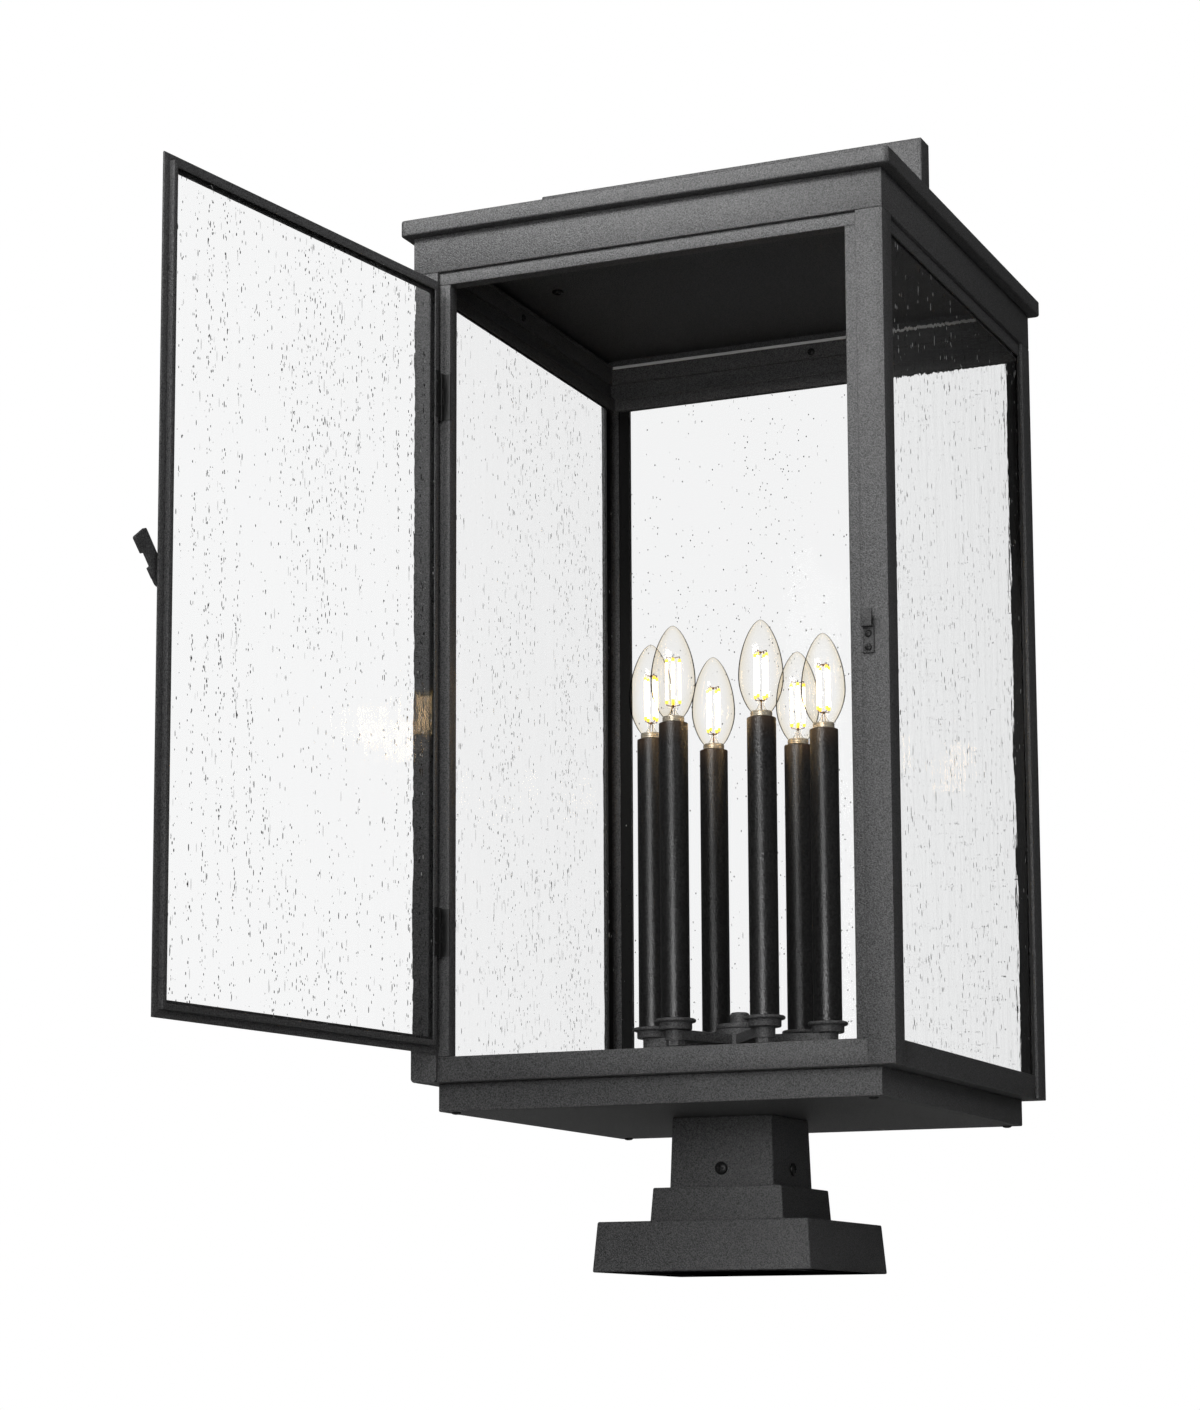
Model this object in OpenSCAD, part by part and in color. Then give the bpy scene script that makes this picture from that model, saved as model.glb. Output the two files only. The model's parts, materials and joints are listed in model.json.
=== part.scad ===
// Pier mount lantern: a square glazed lantern with six candle lamps and a side hung glass door,
// standing on a stepped square base that bolts to the top of a brick or stone pier.
// Millimetres. Z is up, the door side faces -Y, and the origin is the centre of the base's underside.
// The door and its lever are drawn as photographed: door swung open, lever tipped up.

/* [Lantern frame] */
// Outside width and depth of the square frame
frame_w = 380; // [350:5:420]
// Leg width of each corner angle
post_w = 21; // [19:0.5:26]
// Thickness of the corner angles and the fascia
post_t = 3; // [2.5:0.25:4]
// Height of the corner posts
post_h = 624; // [560:2:700]
// Wall of the rails, stops and glass channels
rail_wall = 1.5; // [1.2:0.1:2.2]
// Height of the bottom rails
rail_h = 19; // [17:0.5:26]
// Height of the strips under the fascia
strip_h = 10; // [9:0.5:14]
// Rounding of the lower corners of the front left angle
corner_ease = 3.5; // [2:0.25:5]
// Depth of the bottom rails
rail_d = 18; // [15:0.5:20]
// Width of the upright door stops beside the front posts
stop_w = 9; // [7:0.5:9.5]
// How far stops, panes and tapes run behind the corner angles
corner_lap = 9; // [6:0.5:11]
// Depth of the door stops and of the front strip
stop_d = 12; // [9:0.5:14]
// Height of the fascia under the roof
fascia_h = 30; // [24:1:44]
// Thickness of the fascia's foot flange
fascia_foot = 2; // [1.5:0.25:3]

/* [Roof and handle] */
// Thickness of the roof slab
roof_h = 12.5; // [11:0.5:20]
// Rounding of the roof's upright corners
roof_corner = 4; // [3.5:0.25:6]
// How far the roof stands out past the frame
roof_overhang = 8; // [4:0.5:20]
// Sheet thickness of the roof
roof_wall = 2; // [1.5:0.25:3]
// Height of the roof's rim inside the fascia
rim_h = 14; // [12:0.5:20]
// Outside width of the carrying handle
handle_w = 327; // [240:1:330]
// Height of the handle above the roof
handle_h = 77; // [60:1:110]
// Side of the handle's square tube
handle_bar = 20; // [16:0.5:25]
// Wall of the handle's tube
handle_wall = 2; // [1.5:0.25:3]

/* [Base] */
// Width of the base flange at its foot
flange_w = 175.5; // [160:0.5:200]
// Height of the base flange
flange_h = 38; // [28:1:50]
// Draft of the flange on each side
flange_draft = 3; // [0.5:0.1:4]
// Width of the middle step at its foot
step_w = 108.5; // [104:0.5:124]
// Height of the middle step
step_h = 26.5; // [20:0.5:36]
// Draft of the middle step on each side
step_draft = 1.8; // [0.5:0.1:2.5]
// Width of the neck at its foot
neck_w = 85; // [80:0.5:90]
// Height of the neck
neck_h = 54; // [48:1:80]
// Draft of the neck on each side
neck_draft = 1.7; // [0.5:0.1:2]
// Wall of the cast base
cast_wall = 4; // [3:0.25:4.5]
// Height of the neck screws above the foot of the neck
neck_screw_h = 14.2; // [12:0.2:20]
// How far the tray's walls lie inside the outer faces of the frame
tray_inset = 15.5; // [13:0.5:17]
// Height of the tray
tray_h = 21; // [16:1:32]
// Sheet thickness of the tray and the floor
tray_wall = 2; // [1.5:0.25:3]
// Width of the turned in top flange of the tray
tray_flange = 15; // [14:0.5:22]

/* [Pier fixing] */
// Side of the square fixing plate
plate_w = 150; // [140:1:152]
// Thickness of the fixing plate
plate_t = 4; // [3:0.5:6]
// Hole to hole distance of the anchor bolts
anchor_spacing = 110; // [108:1:120]
// Diameter of the anchor bolt holes
anchor_d = 9; // [7:0.5:12]
// Diameter of the supply wire hole
wire_hole_d = 36; // [20:1:50]
// Wall of the fixing post
fixing_wall = 3; // [2:0.25:4]
// Height of the fixing post above its plate
fixing_h = 88; // [84:1:96]

/* [Glass] */
// Thickness of the glass
glass_t = 3; // [2.5:0.25:3.5]
// How much of the top and bottom of a pane is covered
glass_cover = 8; // [5:0.5:8.5]
// Play of the panes in their channels and of the floor between the rails
glass_play = 0.3; // [0.2:0.1:0.6]

/* [Door] */
// Gap between the door and the post on each side
door_gap = 5; // [4.6:0.1:6]
// Gap between the bottom rail and the door
door_foot_gap = 1.5; // [1:0.1:3]
// How far the door laps over the front strip
door_lap = 1.8; // [1:0.1:3]
// Angle of the door from closed in the drawing
door_open = 98.4; // [0:0.1:105]
// Full width of the door's face sheet
door_face_w = 12.5; // [11:0.25:16]
// Thickness of the door's face sheet
door_face_t = 1.5; // [1:0.1:2]
// Margin of the face sheet outside the glazing channel
door_margin = 5.6; // [5.2:0.1:6]
// Width of the glazing channel
channel_w = 4.4; // [4:0.1:5]
// Wall of the glazing channel
channel_wall = 1.6; // [1:0.1:2]
// Thickness of the channel's inner lip
channel_lip = 1; // [0.8:0.1:1.5]
// Play of the door glass in its channel
channel_play = 0.2; // [0.1:0.05:0.4]

/* [Hinges] */
// Height of each hinge
hinge_h = 36; // [24:1:50]
// Distance between the two hinges
hinge_spacing = 413; // [300:1:460]
// Thickness of the hinge leaves
leaf_t = 0.8; // [0.6:0.05:0.9]
// Gap between the leaves when closed
leaf_gap = 0.3; // [0.3:0.05:0.5]
// Radius of the hinge knuckles
knuckle_r = 1.6; // [1.4:0.05:1.6]
// Radius of the hinge pins
pin_r = 0.8; // [0.6:0.05:0.9]
// Running clearance of the pins
pin_clear = 0.05; // [0.03:0.01:0.08]
// Distance between the two fixings of one leaf
fixing_spacing = 18; // [12:0.5:18]
// Radius of the leaf screws and rivets
leaf_fixing_r = 0.9; // [0.7:0.05:1.1]
// Length of each knuckle at a hinge's ends
knuckle_len = 11; // [8:0.5:11.5]

/* [Latch] */
// Height of the lever pivot above the foot of the posts
latch_z = 318.5; // [200:0.5:450]
// Distance of the pivot from the door's free edge
pivot_in = 6.3; // [6:0.1:7]
// Angle of the lever above level in the drawing
lever_lift = 51.3; // [45:0.1:60]
// Width of the lever
lever_w = 14.4; // [12.5:0.1:16]
// Width of the lever at its notch
lever_waist = 11.4; // [10:0.1:12]
// Thickness of the lever
lever_t = 2.5; // [2:0.1:3]
// Length of the lever's head past its notch
lever_head = 12.6; // [8:0.2:20]
// Radius of the pivot shank
pivot_r = 1.6; // [1.4:0.1:2]
// Gap between the door and the lever
lever_stand = 1.8; // [1.6:0.1:2.5]
// Width of the catch
catch_w = 8.4; // [8:0.1:10]
// Sheet thickness of the catch
catch_t = 1.5; // [1.2:0.1:1.6]
// Height of the catch plate below its shelf
catch_plate_h = 20; // [18:0.5:26]
// Height of the catch's upturned lip above its shelf
catch_lip_h = 11.5; // [8:0.5:12]
// Gap between the lever and the catch on each side
catch_play = 0.5; // [0.4:0.05:0.8]
// Radius of the small pan head screws
small_screw_r = 1.5; // [1.2:0.1:1.7]

/* [Lamp cluster] */
// Radius of the ring of candles
ring_r = 70; // [60:1:90]
// Turn of the ring about the centre
ring_turn = 6.7; // [0:0.1:30]
// Height of the hub's underside above the floor
hub_lift = 26.5; // [24:0.5:40]
// Radius of the hub
hub_r = 18.6; // [17:0.2:22]
// Height of the hub
hub_h = 20; // [18:0.5:26]
// Thickness of the hub's cap
cap_h = 4; // [3:0.5:6]
// Radius of the knob on the hub
knob_r = 7.4; // [7:0.1:9]
// Height of the knob
knob_h = 9.5; // [8:0.5:14]
// Radius of the stem under the hub
stem_r = 11; // [8:0.5:14]
// Radius of the centre tube
tube_r = 5; // [4.5:0.1:6]
// Width of the arms
arm_w = 16; // [13:0.5:17]
// Height of the arms
arm_h = 8; // [7:0.5:12]
// Radius of the candle cups
cup_r = 12.7; // [12.4:0.1:14]
// Radius of the rims of the cups
cup_rim_r = 15.75; // [14.5:0.25:18]
// Height of the cups
cup_h = 8.7; // [8:0.1:12]
// Outside radius of the candle sleeves
sleeve_r = 11.25; // [11:0.05:11.8]
// Wall of the candle sleeves
sleeve_wall = 1; // [0.8:0.1:1.4]
// Height of the candle sleeves
sleeve_h = 236; // [160:1:280]
// Outside radius of the lamp holders
holder_r = 8.5; // [7.5:0.1:9]
// Height of the lamp holders
holder_h = 36; // [34:0.5:44]
// Radius of the tubes that carry the lamp holders
conduit_r = 4.9; // [4.5:0.1:5.5]

/* [Bulbs] */
// Radius of the bulb's screw cap
cap_screw_r = 5.85; // [5.5:0.05:6.2]
// Radius of the collar of the bulb
collar_r = 8.5; // [7.5:0.1:9.5]
// Height of the collar
collar_h = 4.5; // [3:0.25:6]
// Largest radius of the bulb's glass
bulb_r = 17.5; // [15:0.25:19]
// Height of the bulb's glass
bulb_h = 72; // [60:1:85]
// Wall of the bulb's glass
bulb_wall = 0.7; // [0.5:0.1:1]
// Length of the filament rods
filament_h = 34; // [24:0.5:36]

/* [Hidden] */
$fn = 48;

// Small overlap that keeps cutters clear of the faces they cut
eps = 0.01;
// Clearance round a fixed screw in its hole
screw_clear = 0.1;
// Clearance between parts of different bodies that pass each other
move_clear = 0.3;
// Seating gap of a fitted part that stays put
seat_gap = 0.05;

// Frame faces, measured out from the centre
half = frame_w / 2;
post_in = half - post_w;
rail_out = half - post_t;
rail_in = rail_out - rail_d;
glass_out = rail_out - rail_wall;
glass_in = glass_out - glass_t;
channel_in = glass_in - glass_play - rail_wall;
stop_in = post_in - stop_w;
lap_out = post_in + corner_lap;
tray_half = half - tray_inset;
rim_in = rail_out - roof_wall;

// Heights of the stack
z_step = flange_h;
z_neck = z_step + step_h;
z_tray = z_neck + neck_h;
z_frame = z_tray + tray_h;
z_floor = z_frame + tray_wall;
z_rail = z_frame + rail_h;
z_fascia = z_frame + post_h;
z_strip = z_fascia - strip_h;
z_roof = z_fascia + fascia_h;
z_top = z_roof + roof_h;
z_neck_screw = z_neck + neck_screw_h;

// Play between the fixing post and the neck
fixing_play = 0.7;
// Distance of the tray bolts from the neck's inner faces
tray_bolt_in = 13;
// Distance of the tray screws from the tray's outer faces
tray_screw_in = 10;

// Base: cavities and the fixing post that fills the neck
flange_cavity = flange_w / 2 - flange_draft - cast_wall;
step_cavity = step_w / 2 - step_draft - cast_wall;
neck_cavity = neck_w / 2 - neck_draft - cast_wall;
fixing_half = neck_cavity - fixing_play;
neck_screw_r = 2.4;
neck_head_r = 5;
neck_head_h = 3;
neck_seat_r = neck_head_r + 0.6;
neck_seat = neck_w / 2 - neck_draft * (neck_screw_h + neck_seat_r) / neck_h - seat_gap;
neck_screw_len = neck_seat - fixing_half + fixing_wall + 2;
tray_bolt_at = neck_cavity - tray_bolt_in;
tray_bolt_r = 2.9;
tray_bolt_head_r = 5;
tray_bolt_head_h = 3.5;
tray_screw_at = tray_half - tray_screw_in;
tray_screw_r = 1.9;
tray_screw_head_r = 3.6;
tray_screw_head_h = 1.8;
tray_screw_end = 3;

// Roof screws in the middle of each side, handle screws under the roof sheet
roof_screw_drop = 8;
z_roof_screw = z_roof - roof_screw_drop;
roof_screw_r = 1.7;
roof_head_r = 3.2;
roof_head_h = 1.9;
roof_bite = 2.2;
handle_leg_at = handle_w / 2 - handle_bar / 2;
handle_screw_r = 2.9;
handle_head_r = 4.8;
handle_head_h = 3;
handle_foot_t = 4;
handle_screw_len = handle_foot_t + 4;
roof_half = half + roof_overhang;

// Door, in its closed place: x across, y the swing plane, z up
door_left = -post_in + door_gap;
door_right = post_in - door_gap;
door_low = z_rail + door_foot_gap;
door_high = z_strip + door_lap;
door_w = door_right - door_left;
door_h = door_high - door_low;
leaf_stack = 2 * leaf_t + leaf_gap;
face_in_y = -rail_out - leaf_stack;
face_out_y = face_in_y - door_face_t;
hinge_x = -post_in + knuckle_r + move_clear;
hinge_y = face_in_y;
channel_depth = glass_t + channel_play + channel_lip;
glass_edge_play = 0.4;
door_glass_edge = door_margin + channel_wall + glass_edge_play;
hinge_mid = (door_low + door_high) / 2;
hinge_zs = [hinge_mid - hinge_spacing / 2, hinge_mid + hinge_spacing / 2];
knuckle_gap = 0.3;
leaf_margin = 0.5;
frame_leaf_end = stop_in - leaf_margin;
leaf_screw_in = 1;
leaf_screw_x = (stop_in + post_in) / 2 - leaf_screw_in;
leaf_screw_depth = 5;
rivet_head_r = 1.5;
rivet_head_h = 0.7;
rivet_in = door_margin + channel_w / 2;

// Latch lever and catch, with the door closed and the lever level
pivot_x = door_right - pivot_in;
pivot_z = z_frame + latch_z;
lever_back_y = face_out_y - lever_stand;
lever_front_y = lever_back_y - lever_t;
// Distance of the catch from the post's inner edge
catch_in = 1.8;
// Room beside the catch in the lever's notch, toward the pivot and toward the head
notch_room_in = 1.9;
notch_room_out = 0.5;
catch_x = post_in + catch_in;
catch_mid_x = catch_x + catch_w / 2;
notch_start = catch_x - notch_room_in - pivot_x;
notch_end = catch_x + catch_w + notch_room_out - pivot_x;
lever_len = notch_end + lever_head;
lever_tail_r = 6.5;
notch_edge = lever_w / 2 - (lever_w - lever_waist);
shelf_top = pivot_z - notch_edge - move_clear;
catch_lip_y = lever_front_y - catch_play;
catch_screw_drop = 6;
catch_screw_spacing = 9.9;
catch_screw_zs = [for (i = [0, 1]) shelf_top - catch_screw_drop - i * catch_screw_spacing];
catch_head_r = 2.6;
catch_head_h = 1.5;
pivot_head_r = 3.2;
pivot_head_h = 1.4;

// Lamp cluster heights
z_hub = z_floor + hub_lift;
z_cap = z_hub + hub_h;
z_knob = z_cap + cap_h;
arm_drop = 4.8;
cup_floor = 2;
holder_drop = 3;
collar_gap = 0.5;
tube_wall = 1.5;
conduit_wall = 1.3;
nut_h = 4;
lock_nut_wall = 3.5;
stem_nut_wall = 2.6;
z_arm_top = z_cap - arm_drop;
z_arm = z_arm_top - arm_h;
z_sleeve = z_arm_top + cup_floor;
z_sleeve_top = z_sleeve + sleeve_h;
z_holder_top = z_sleeve_top - holder_drop;
z_holder = z_holder_top - holder_h;
z_collar = z_sleeve_top + collar_gap;
z_bulb = z_collar + collar_h;
tube_bore = tube_r - tube_wall;
lock_nut_r = tube_r + lock_nut_wall;
stem_nut_r = conduit_r + stem_nut_wall;
conduit_bore = conduit_r - conduit_wall;
holder_bore = cap_screw_r + seat_gap;
holder_depth = 21;
contact_h = 3;
contact_r = 2.5;
cap_screw_h = holder_depth - contact_h + 3.5;
bulb_belly = 0.375;
bulb_foot = collar_r - 0.4;
filament_r = 1.05;
filament_ring = 5;
filament_foot = 11;
stem_foot_r = 4.5;
stem_top_r = 2;
disc_h = 0.8;
candle_angles = [for (i = [0 : 5]) ring_turn + 60 * i];
bore_fn = 32;

metal = "#3a3a3c";
dark_metal = "#262628";
steel = "#a9abae";

// Solid square block, centred on the axis, from height z upward
module block(w, z, h) {
    translate([-w / 2, -w / 2, z]) cube([w, w, h]);
}

// Square block whose sides lean in by the draft from foot to top
module drafted(w, draft, z, h) {
    difference() {
        block(w, z, h);
        sides([0, 90, 180, 270]) translate([0, -w / 2, z]) rotate([-atan(draft / h), 0, 0])
            translate([-w, -w, -w]) cube([2 * w, w, 3 * w]);
    }
}

// Square block with rounded upright corners
module rounded_block(w, r, z, h) {
    block(w - 2 * r, z, h);
    for (a = [0, 90]) rotate([0, 0, a]) translate([-w / 2, -w / 2 + r, z]) cube([w, w - 2 * r, h]);
    corners(w / 2 - r) rod(r, z, h);
}

// Upright round rod or cutter
module rod(r, z, h) {
    translate([0, 0, z]) cylinder(r = r, h = h);
}

// Cross recess of a screw head whose top is at z
module cross_recess(size, z, depth) {
    for (a = [0, 90])
        rotate([0, 0, a]) translate([-size / 2, -size / 8, z - depth]) cube([size, size / 4, depth + 1]);
}

// Pan head screw: head from z = 0 upward, shank downward
module pan_screw(head_r, head_h, shank_r, shank_len) {
    difference() {
        union() {
            cylinder(r = head_r, h = head_h * 0.6);
            translate([0, 0, head_h * 0.6]) cylinder(r1 = head_r, r2 = head_r * 0.72, h = head_h * 0.4);
            translate([0, 0, -shank_len]) cylinder(r = shank_r, h = shank_len + eps);
        }
        cross_recess(head_r * 1.1, head_h, head_h * 0.5);
    }
}

// Hexagon nut with a round hole
module hex_nut(r, hole_r, h) {
    difference() {
        cylinder(r = r, h = h, $fn = 6);
        translate([0, 0, -1]) cylinder(r = hole_r, h = h + 2, $fn = bore_fn);
    }
}

// Repeats its children in the four corners at the same distance from the centre
module corners(at) {
    for (sx = [-1, 1]) for (sy = [-1, 1]) translate([sx * at, sy * at, 0]) children();
}

// Turns its children, drawn facing the front, to each listed side
module sides(angles) {
    for (a = angles) rotate([0, 0, a]) children();
}

// Stands its children at each candle of the ring
module candles() {
    for (a = candle_angles) rotate([0, 0, a]) translate([ring_r, 0, 0]) children();
}

// Moves its children from the hinge axis, drawn with the door closed, to the open door
module on_door() {
    translate([hinge_x, hinge_y, 0]) rotate([0, 0, -door_open]) translate([-hinge_x, -hinge_y, 0])
        children();
}

// Moves its children from the level lever's place to the tipped lever on the open door
module on_lever() {
    on_door() translate([pivot_x, 0, pivot_z]) rotate([0, -lever_lift, 0]) children();
}

// Fixing plate that is bolted to the pier
module mounting_plate() {
    color(steel) difference() {
        block(plate_w, 0, plate_t);
        rod(wire_hole_d / 2, -1, plate_t + 2);
        corners(anchor_spacing / 2) rod(anchor_d / 2, -1, plate_t + 2);
    }
}

// Square post on the plate, which the neck slides over
module mounting_post() {
    color(steel) difference() {
        block(2 * fixing_half, plate_t, fixing_h);
        block(2 * (fixing_half - fixing_wall), plate_t - 1, fixing_h + 2);
        sides([0, 90, 180, 270])
            translate([0, -fixing_half + fixing_wall + 1, z_neck_screw]) rotate([90, 0, 0])
                cylinder(r = neck_screw_r + screw_clear, h = fixing_wall + 2);
    }
}

// Stepped cast base: flange, middle step and neck in one hollow piece
module pier_base() {
    color(metal) difference() {
        union() {
            drafted(flange_w, flange_draft, 0, flange_h);
            drafted(step_w, step_draft, z_step, step_h);
            drafted(neck_w, neck_draft, z_neck, neck_h);
        }
        block(2 * flange_cavity, -1, flange_h - cast_wall + 1);
        block(2 * step_cavity, 0, z_neck - cast_wall);
        block(2 * neck_cavity, 0, z_tray - cast_wall);
        rod(tube_r + screw_clear, z_tray - cast_wall - 1, cast_wall + 2);
        corners(tray_bolt_at) rod(tray_bolt_r + screw_clear, z_tray - cast_wall - 1, cast_wall + 2);
        sides([0, 90, 180, 270]) translate([0, 0, z_neck_screw]) rotate([90, 0, 0]) {
            cylinder(r = neck_screw_r + screw_clear, h = neck_w);
            translate([0, 0, neck_seat]) cylinder(r = neck_seat_r, h = neck_w);
        }
    }
}

// Four screws that hold the neck on the fixing post
module neck_screws() {
    color(dark_metal) sides([0, 90, 180, 270])
        translate([0, -neck_seat, z_neck_screw]) rotate([90, 0, 0])
            pan_screw(neck_head_r, neck_head_h, neck_screw_r, neck_screw_len);
}

// Shallow tray under the frame, with a turned in top flange
module bottom_tray() {
    color(metal) difference() {
        block(2 * tray_half, z_tray, tray_h);
        block(2 * (tray_half - tray_wall), z_tray + tray_wall, tray_h - 2 * tray_wall);
        block(2 * (tray_half - tray_flange), z_tray + tray_wall, tray_h);
        rod(tube_r + screw_clear, z_tray - 1, tray_wall + 2);
        corners(tray_bolt_at) rod(tray_bolt_r + screw_clear, z_tray - 1, tray_wall + 2);
        corners(tray_screw_at) rod(tray_screw_r + screw_clear, z_tray - 1, tray_h + 2);
    }
}

// Four bolts from the tray down into the top of the neck
module tray_bolts() {
    color(steel) corners(tray_bolt_at)
        translate([0, 0, z_tray + tray_wall])
            pan_screw(tray_bolt_head_r, tray_bolt_head_h, tray_bolt_r, tray_wall + cast_wall + 2);
}

// Four long screws from under the tray up into the floor
module tray_screws() {
    color(dark_metal) corners(tray_screw_at)
        translate([0, 0, z_tray]) rotate([180, 0, 0])
            pan_screw(tray_screw_head_r, tray_screw_head_h, tray_screw_r,
                tray_h + tray_wall + tray_screw_end);
}

// Floor of the lantern, lying on the tray's flange between the rails
module floor_plate() {
    color(metal) difference() {
        block(2 * (rail_in - glass_play), z_frame, tray_wall);
        rod(tube_r + screw_clear, z_frame - 1, tray_wall + 2);
        corners(tray_screw_at) rod(tray_screw_r + screw_clear, z_frame - 1, tray_wall + 2);
    }
}

// Corner angle: two legs that meet at the outer edge of the frame
module corner_post(sx, sy) {
    color(metal) difference() {
        scale([sx, sy, 1]) translate([0, 0, z_frame]) linear_extrude(height = post_h) difference() {
            translate([post_in, post_in]) square(post_w);
            translate([post_in - 1, post_in - 1]) square(post_w - post_t + 1);
        }
        if (sx > 0 && sy < 0) catch_screw_holes();
        if (sx < 0 && sy < 0) {
            translate([-half, -half, z_frame]) ease_cutter();
            translate([-post_in, -half, z_frame]) mirror([1, 0, 0]) ease_cutter();
        }
    }
}

// Rounds the lower corner of a leg, cut through from front to back
module ease_cutter() {
    translate([0, -1, 0]) difference() {
        translate([-1, 0, -1]) cube([corner_ease + 1, 2 * post_w, corner_ease + 1]);
        translate([corner_ease, -1, corner_ease]) rotate([-90, 0, 0])
            cylinder(r = corner_ease, h = 2 * post_w + 2);
    }
}

// Quarter of the square that one side's member keeps, so that its ends are mitred
module front_wedge(z, h) {
    translate([0, 0, z]) linear_extrude(height = h) polygon([[0, 0], [-half, -half], [half, -half]]);
}

// Bottom rail facing the front; a glazed rail has a groove for its pane
module rail(glazed) {
    groove_z = rail_h - glass_cover;
    color(metal) intersection() {
        front_wedge(z_frame, rail_h);
        translate([-rail_out, -rail_out, z_frame]) rotate([90, 0, 90])
            linear_extrude(height = 2 * rail_out) difference() {
                square([rail_d, rail_h]);
                difference() {
                    translate([rail_wall, rail_wall])
                        square([rail_d - 2 * rail_wall, rail_h - 2 * rail_wall]);
                    if (glazed) translate([0, groove_z - rail_wall])
                        square([2 * rail_wall + glass_t + glass_play, rail_h]);
                }
                if (glazed) translate([rail_wall, groove_z]) square([glass_t + glass_play, rail_h]);
            }
    }
}

// Flat strip over the door opening
module strip_front() {
    color(metal) intersection() {
        front_wedge(z_strip, strip_h);
        translate([-rail_out, -rail_out, z_strip]) cube([2 * rail_out, stop_d, strip_h]);
    }
}

// Channel for the top edge of a pane, facing the front and open below
module top_channel() {
    color(metal) intersection() {
        front_wedge(z_strip, strip_h);
        difference() {
            translate([-rail_out, -rail_out, z_strip]) cube([2 * rail_out, rail_out - channel_in, strip_h]);
            translate([-half, -glass_out, z_strip - 1])
                cube([2 * half, glass_t + glass_play, strip_h - rail_wall + 1]);
        }
    }
}

// Hollow upright stop, partly behind a front post; side is -1 for the left and 1 for the right
module door_stop(side) {
    x = side < 0 ? -lap_out : stop_in;
    w = lap_out - stop_in;
    color(metal) difference() {
        translate([x, -rail_out, z_rail]) cube([w, stop_d, z_strip - z_rail]);
        translate([x + rail_wall, -rail_out + rail_wall, z_rail - 1])
            cube([w - 2 * rail_wall, stop_d - 2 * rail_wall, z_strip - z_rail + 2]);
        if (side < 0) leaf_screw_holes();
        if (side > 0) catch_screw_holes();
    }
}

// Fascia ring on top of the corner angles, with a foot flange over the channels
module fascia_frame() {
    color(metal) difference() {
        block(frame_w, z_fascia, fascia_h);
        block(2 * rail_out, z_fascia + fascia_foot, fascia_h);
        block(2 * channel_in, z_fascia - 1, fascia_h);
        sides([0, 90, 180, 270]) translate([0, -rail_out + 1, z_roof_screw]) rotate([90, 0, 0])
            cylinder(r = roof_screw_r + screw_clear, h = 1 + roof_bite + screw_clear);
    }
}

// Roof: top sheet, skirt, underside lip and a rim that hangs inside the fascia
module roof_pan() {
    color(metal) difference() {
        union() {
            rounded_block(2 * roof_half, roof_corner, z_roof, roof_h);
            block(2 * rail_out, z_roof - rim_h, rim_h + eps);
        }
        rounded_block(2 * (roof_half - roof_wall), roof_corner - roof_wall, z_roof + roof_wall,
            roof_h - 2 * roof_wall);
        block(2 * rim_in, z_roof - rim_h - 1, rim_h + roof_h - roof_wall + 1);
        sides([0, 90, 180, 270]) translate([0, -rim_in + 1, z_roof_screw]) rotate([90, 0, 0])
            cylinder(r = roof_screw_r + screw_clear, h = roof_wall + 2);
        for (s = [-1, 1]) translate([s * handle_leg_at, 0, 0])
            rod(handle_screw_r + screw_clear, z_top - roof_wall - 1, roof_wall + 2);
    }
}

// Four screws from inside that hold the roof's rim in the fascia
module roof_screws() {
    color(dark_metal) sides([0, 90, 180, 270])
        translate([0, -rim_in, z_roof_screw]) rotate([-90, 0, 0])
            pan_screw(roof_head_r, roof_head_h, roof_screw_r, roof_wall + roof_bite);
}

// Square tube handle across the roof, with solid feet that take the handle screws
module top_handle() {
    inner = handle_w - 2 * handle_bar;
    bore = handle_bar - 2 * handle_wall;
    color(metal) difference() {
        translate([-handle_w / 2, -handle_bar / 2, z_top]) cube([handle_w, handle_bar, handle_h]);
        translate([-inner / 2, -handle_bar, z_top - 1])
            cube([inner, 2 * handle_bar, handle_h - handle_bar + 1]);
        translate([-handle_w / 2 + handle_wall, -bore / 2, z_top + handle_h - handle_bar + handle_wall])
            cube([handle_w - 2 * handle_wall, bore, bore]);
        for (s = [-1, 1]) translate([s * handle_leg_at, 0, 0]) {
            block(bore, z_top + handle_foot_t, handle_h - handle_bar);
            rod(handle_screw_r + screw_clear, z_top - 1, handle_foot_t + 2);
        }
    }
}

// One screw up into each leg of the handle
module handle_screws() {
    color(dark_metal) for (s = [-1, 1])
        translate([s * handle_leg_at, 0, z_top - roof_wall]) rotate([180, 0, 0])
            pan_screw(handle_head_r, handle_head_h, handle_screw_r, handle_screw_len);
}

// Glass pane between the rail's groove and the top channel, facing the front
module pane() {
    color("lightcyan", 0.35)
        translate([-lap_out, -glass_out, z_rail - glass_cover])
            cube([2 * lap_out, glass_t, z_strip - z_rail + 2 * glass_cover]);
}

// Tapes between the panes and the corner angles
module glazing_tapes() {
    tape_w = corner_lap - 0.5;
    color("#101010") sides([90, 180, 270]) for (x = [-lap_out, lap_out - tape_w])
        translate([x, -rail_out, z_rail]) cube([tape_w, rail_wall, z_strip - z_rail]);
}

// Sheet hook on the right post: plate, shelf and upturned lip
module catch_hook() {
    depth = -half - catch_lip_y + catch_t;
    color(metal) difference() {
        translate([catch_x, -half, 0]) union() {
            translate([0, -catch_t, shelf_top - catch_plate_h]) cube([catch_w, catch_t, catch_plate_h]);
            translate([0, -depth, shelf_top - catch_t]) cube([catch_w, depth, catch_t]);
            translate([0, -depth, shelf_top - catch_t]) cube([catch_w, catch_t, catch_lip_h + catch_t]);
        }
        catch_screw_holes();
    }
}

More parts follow.
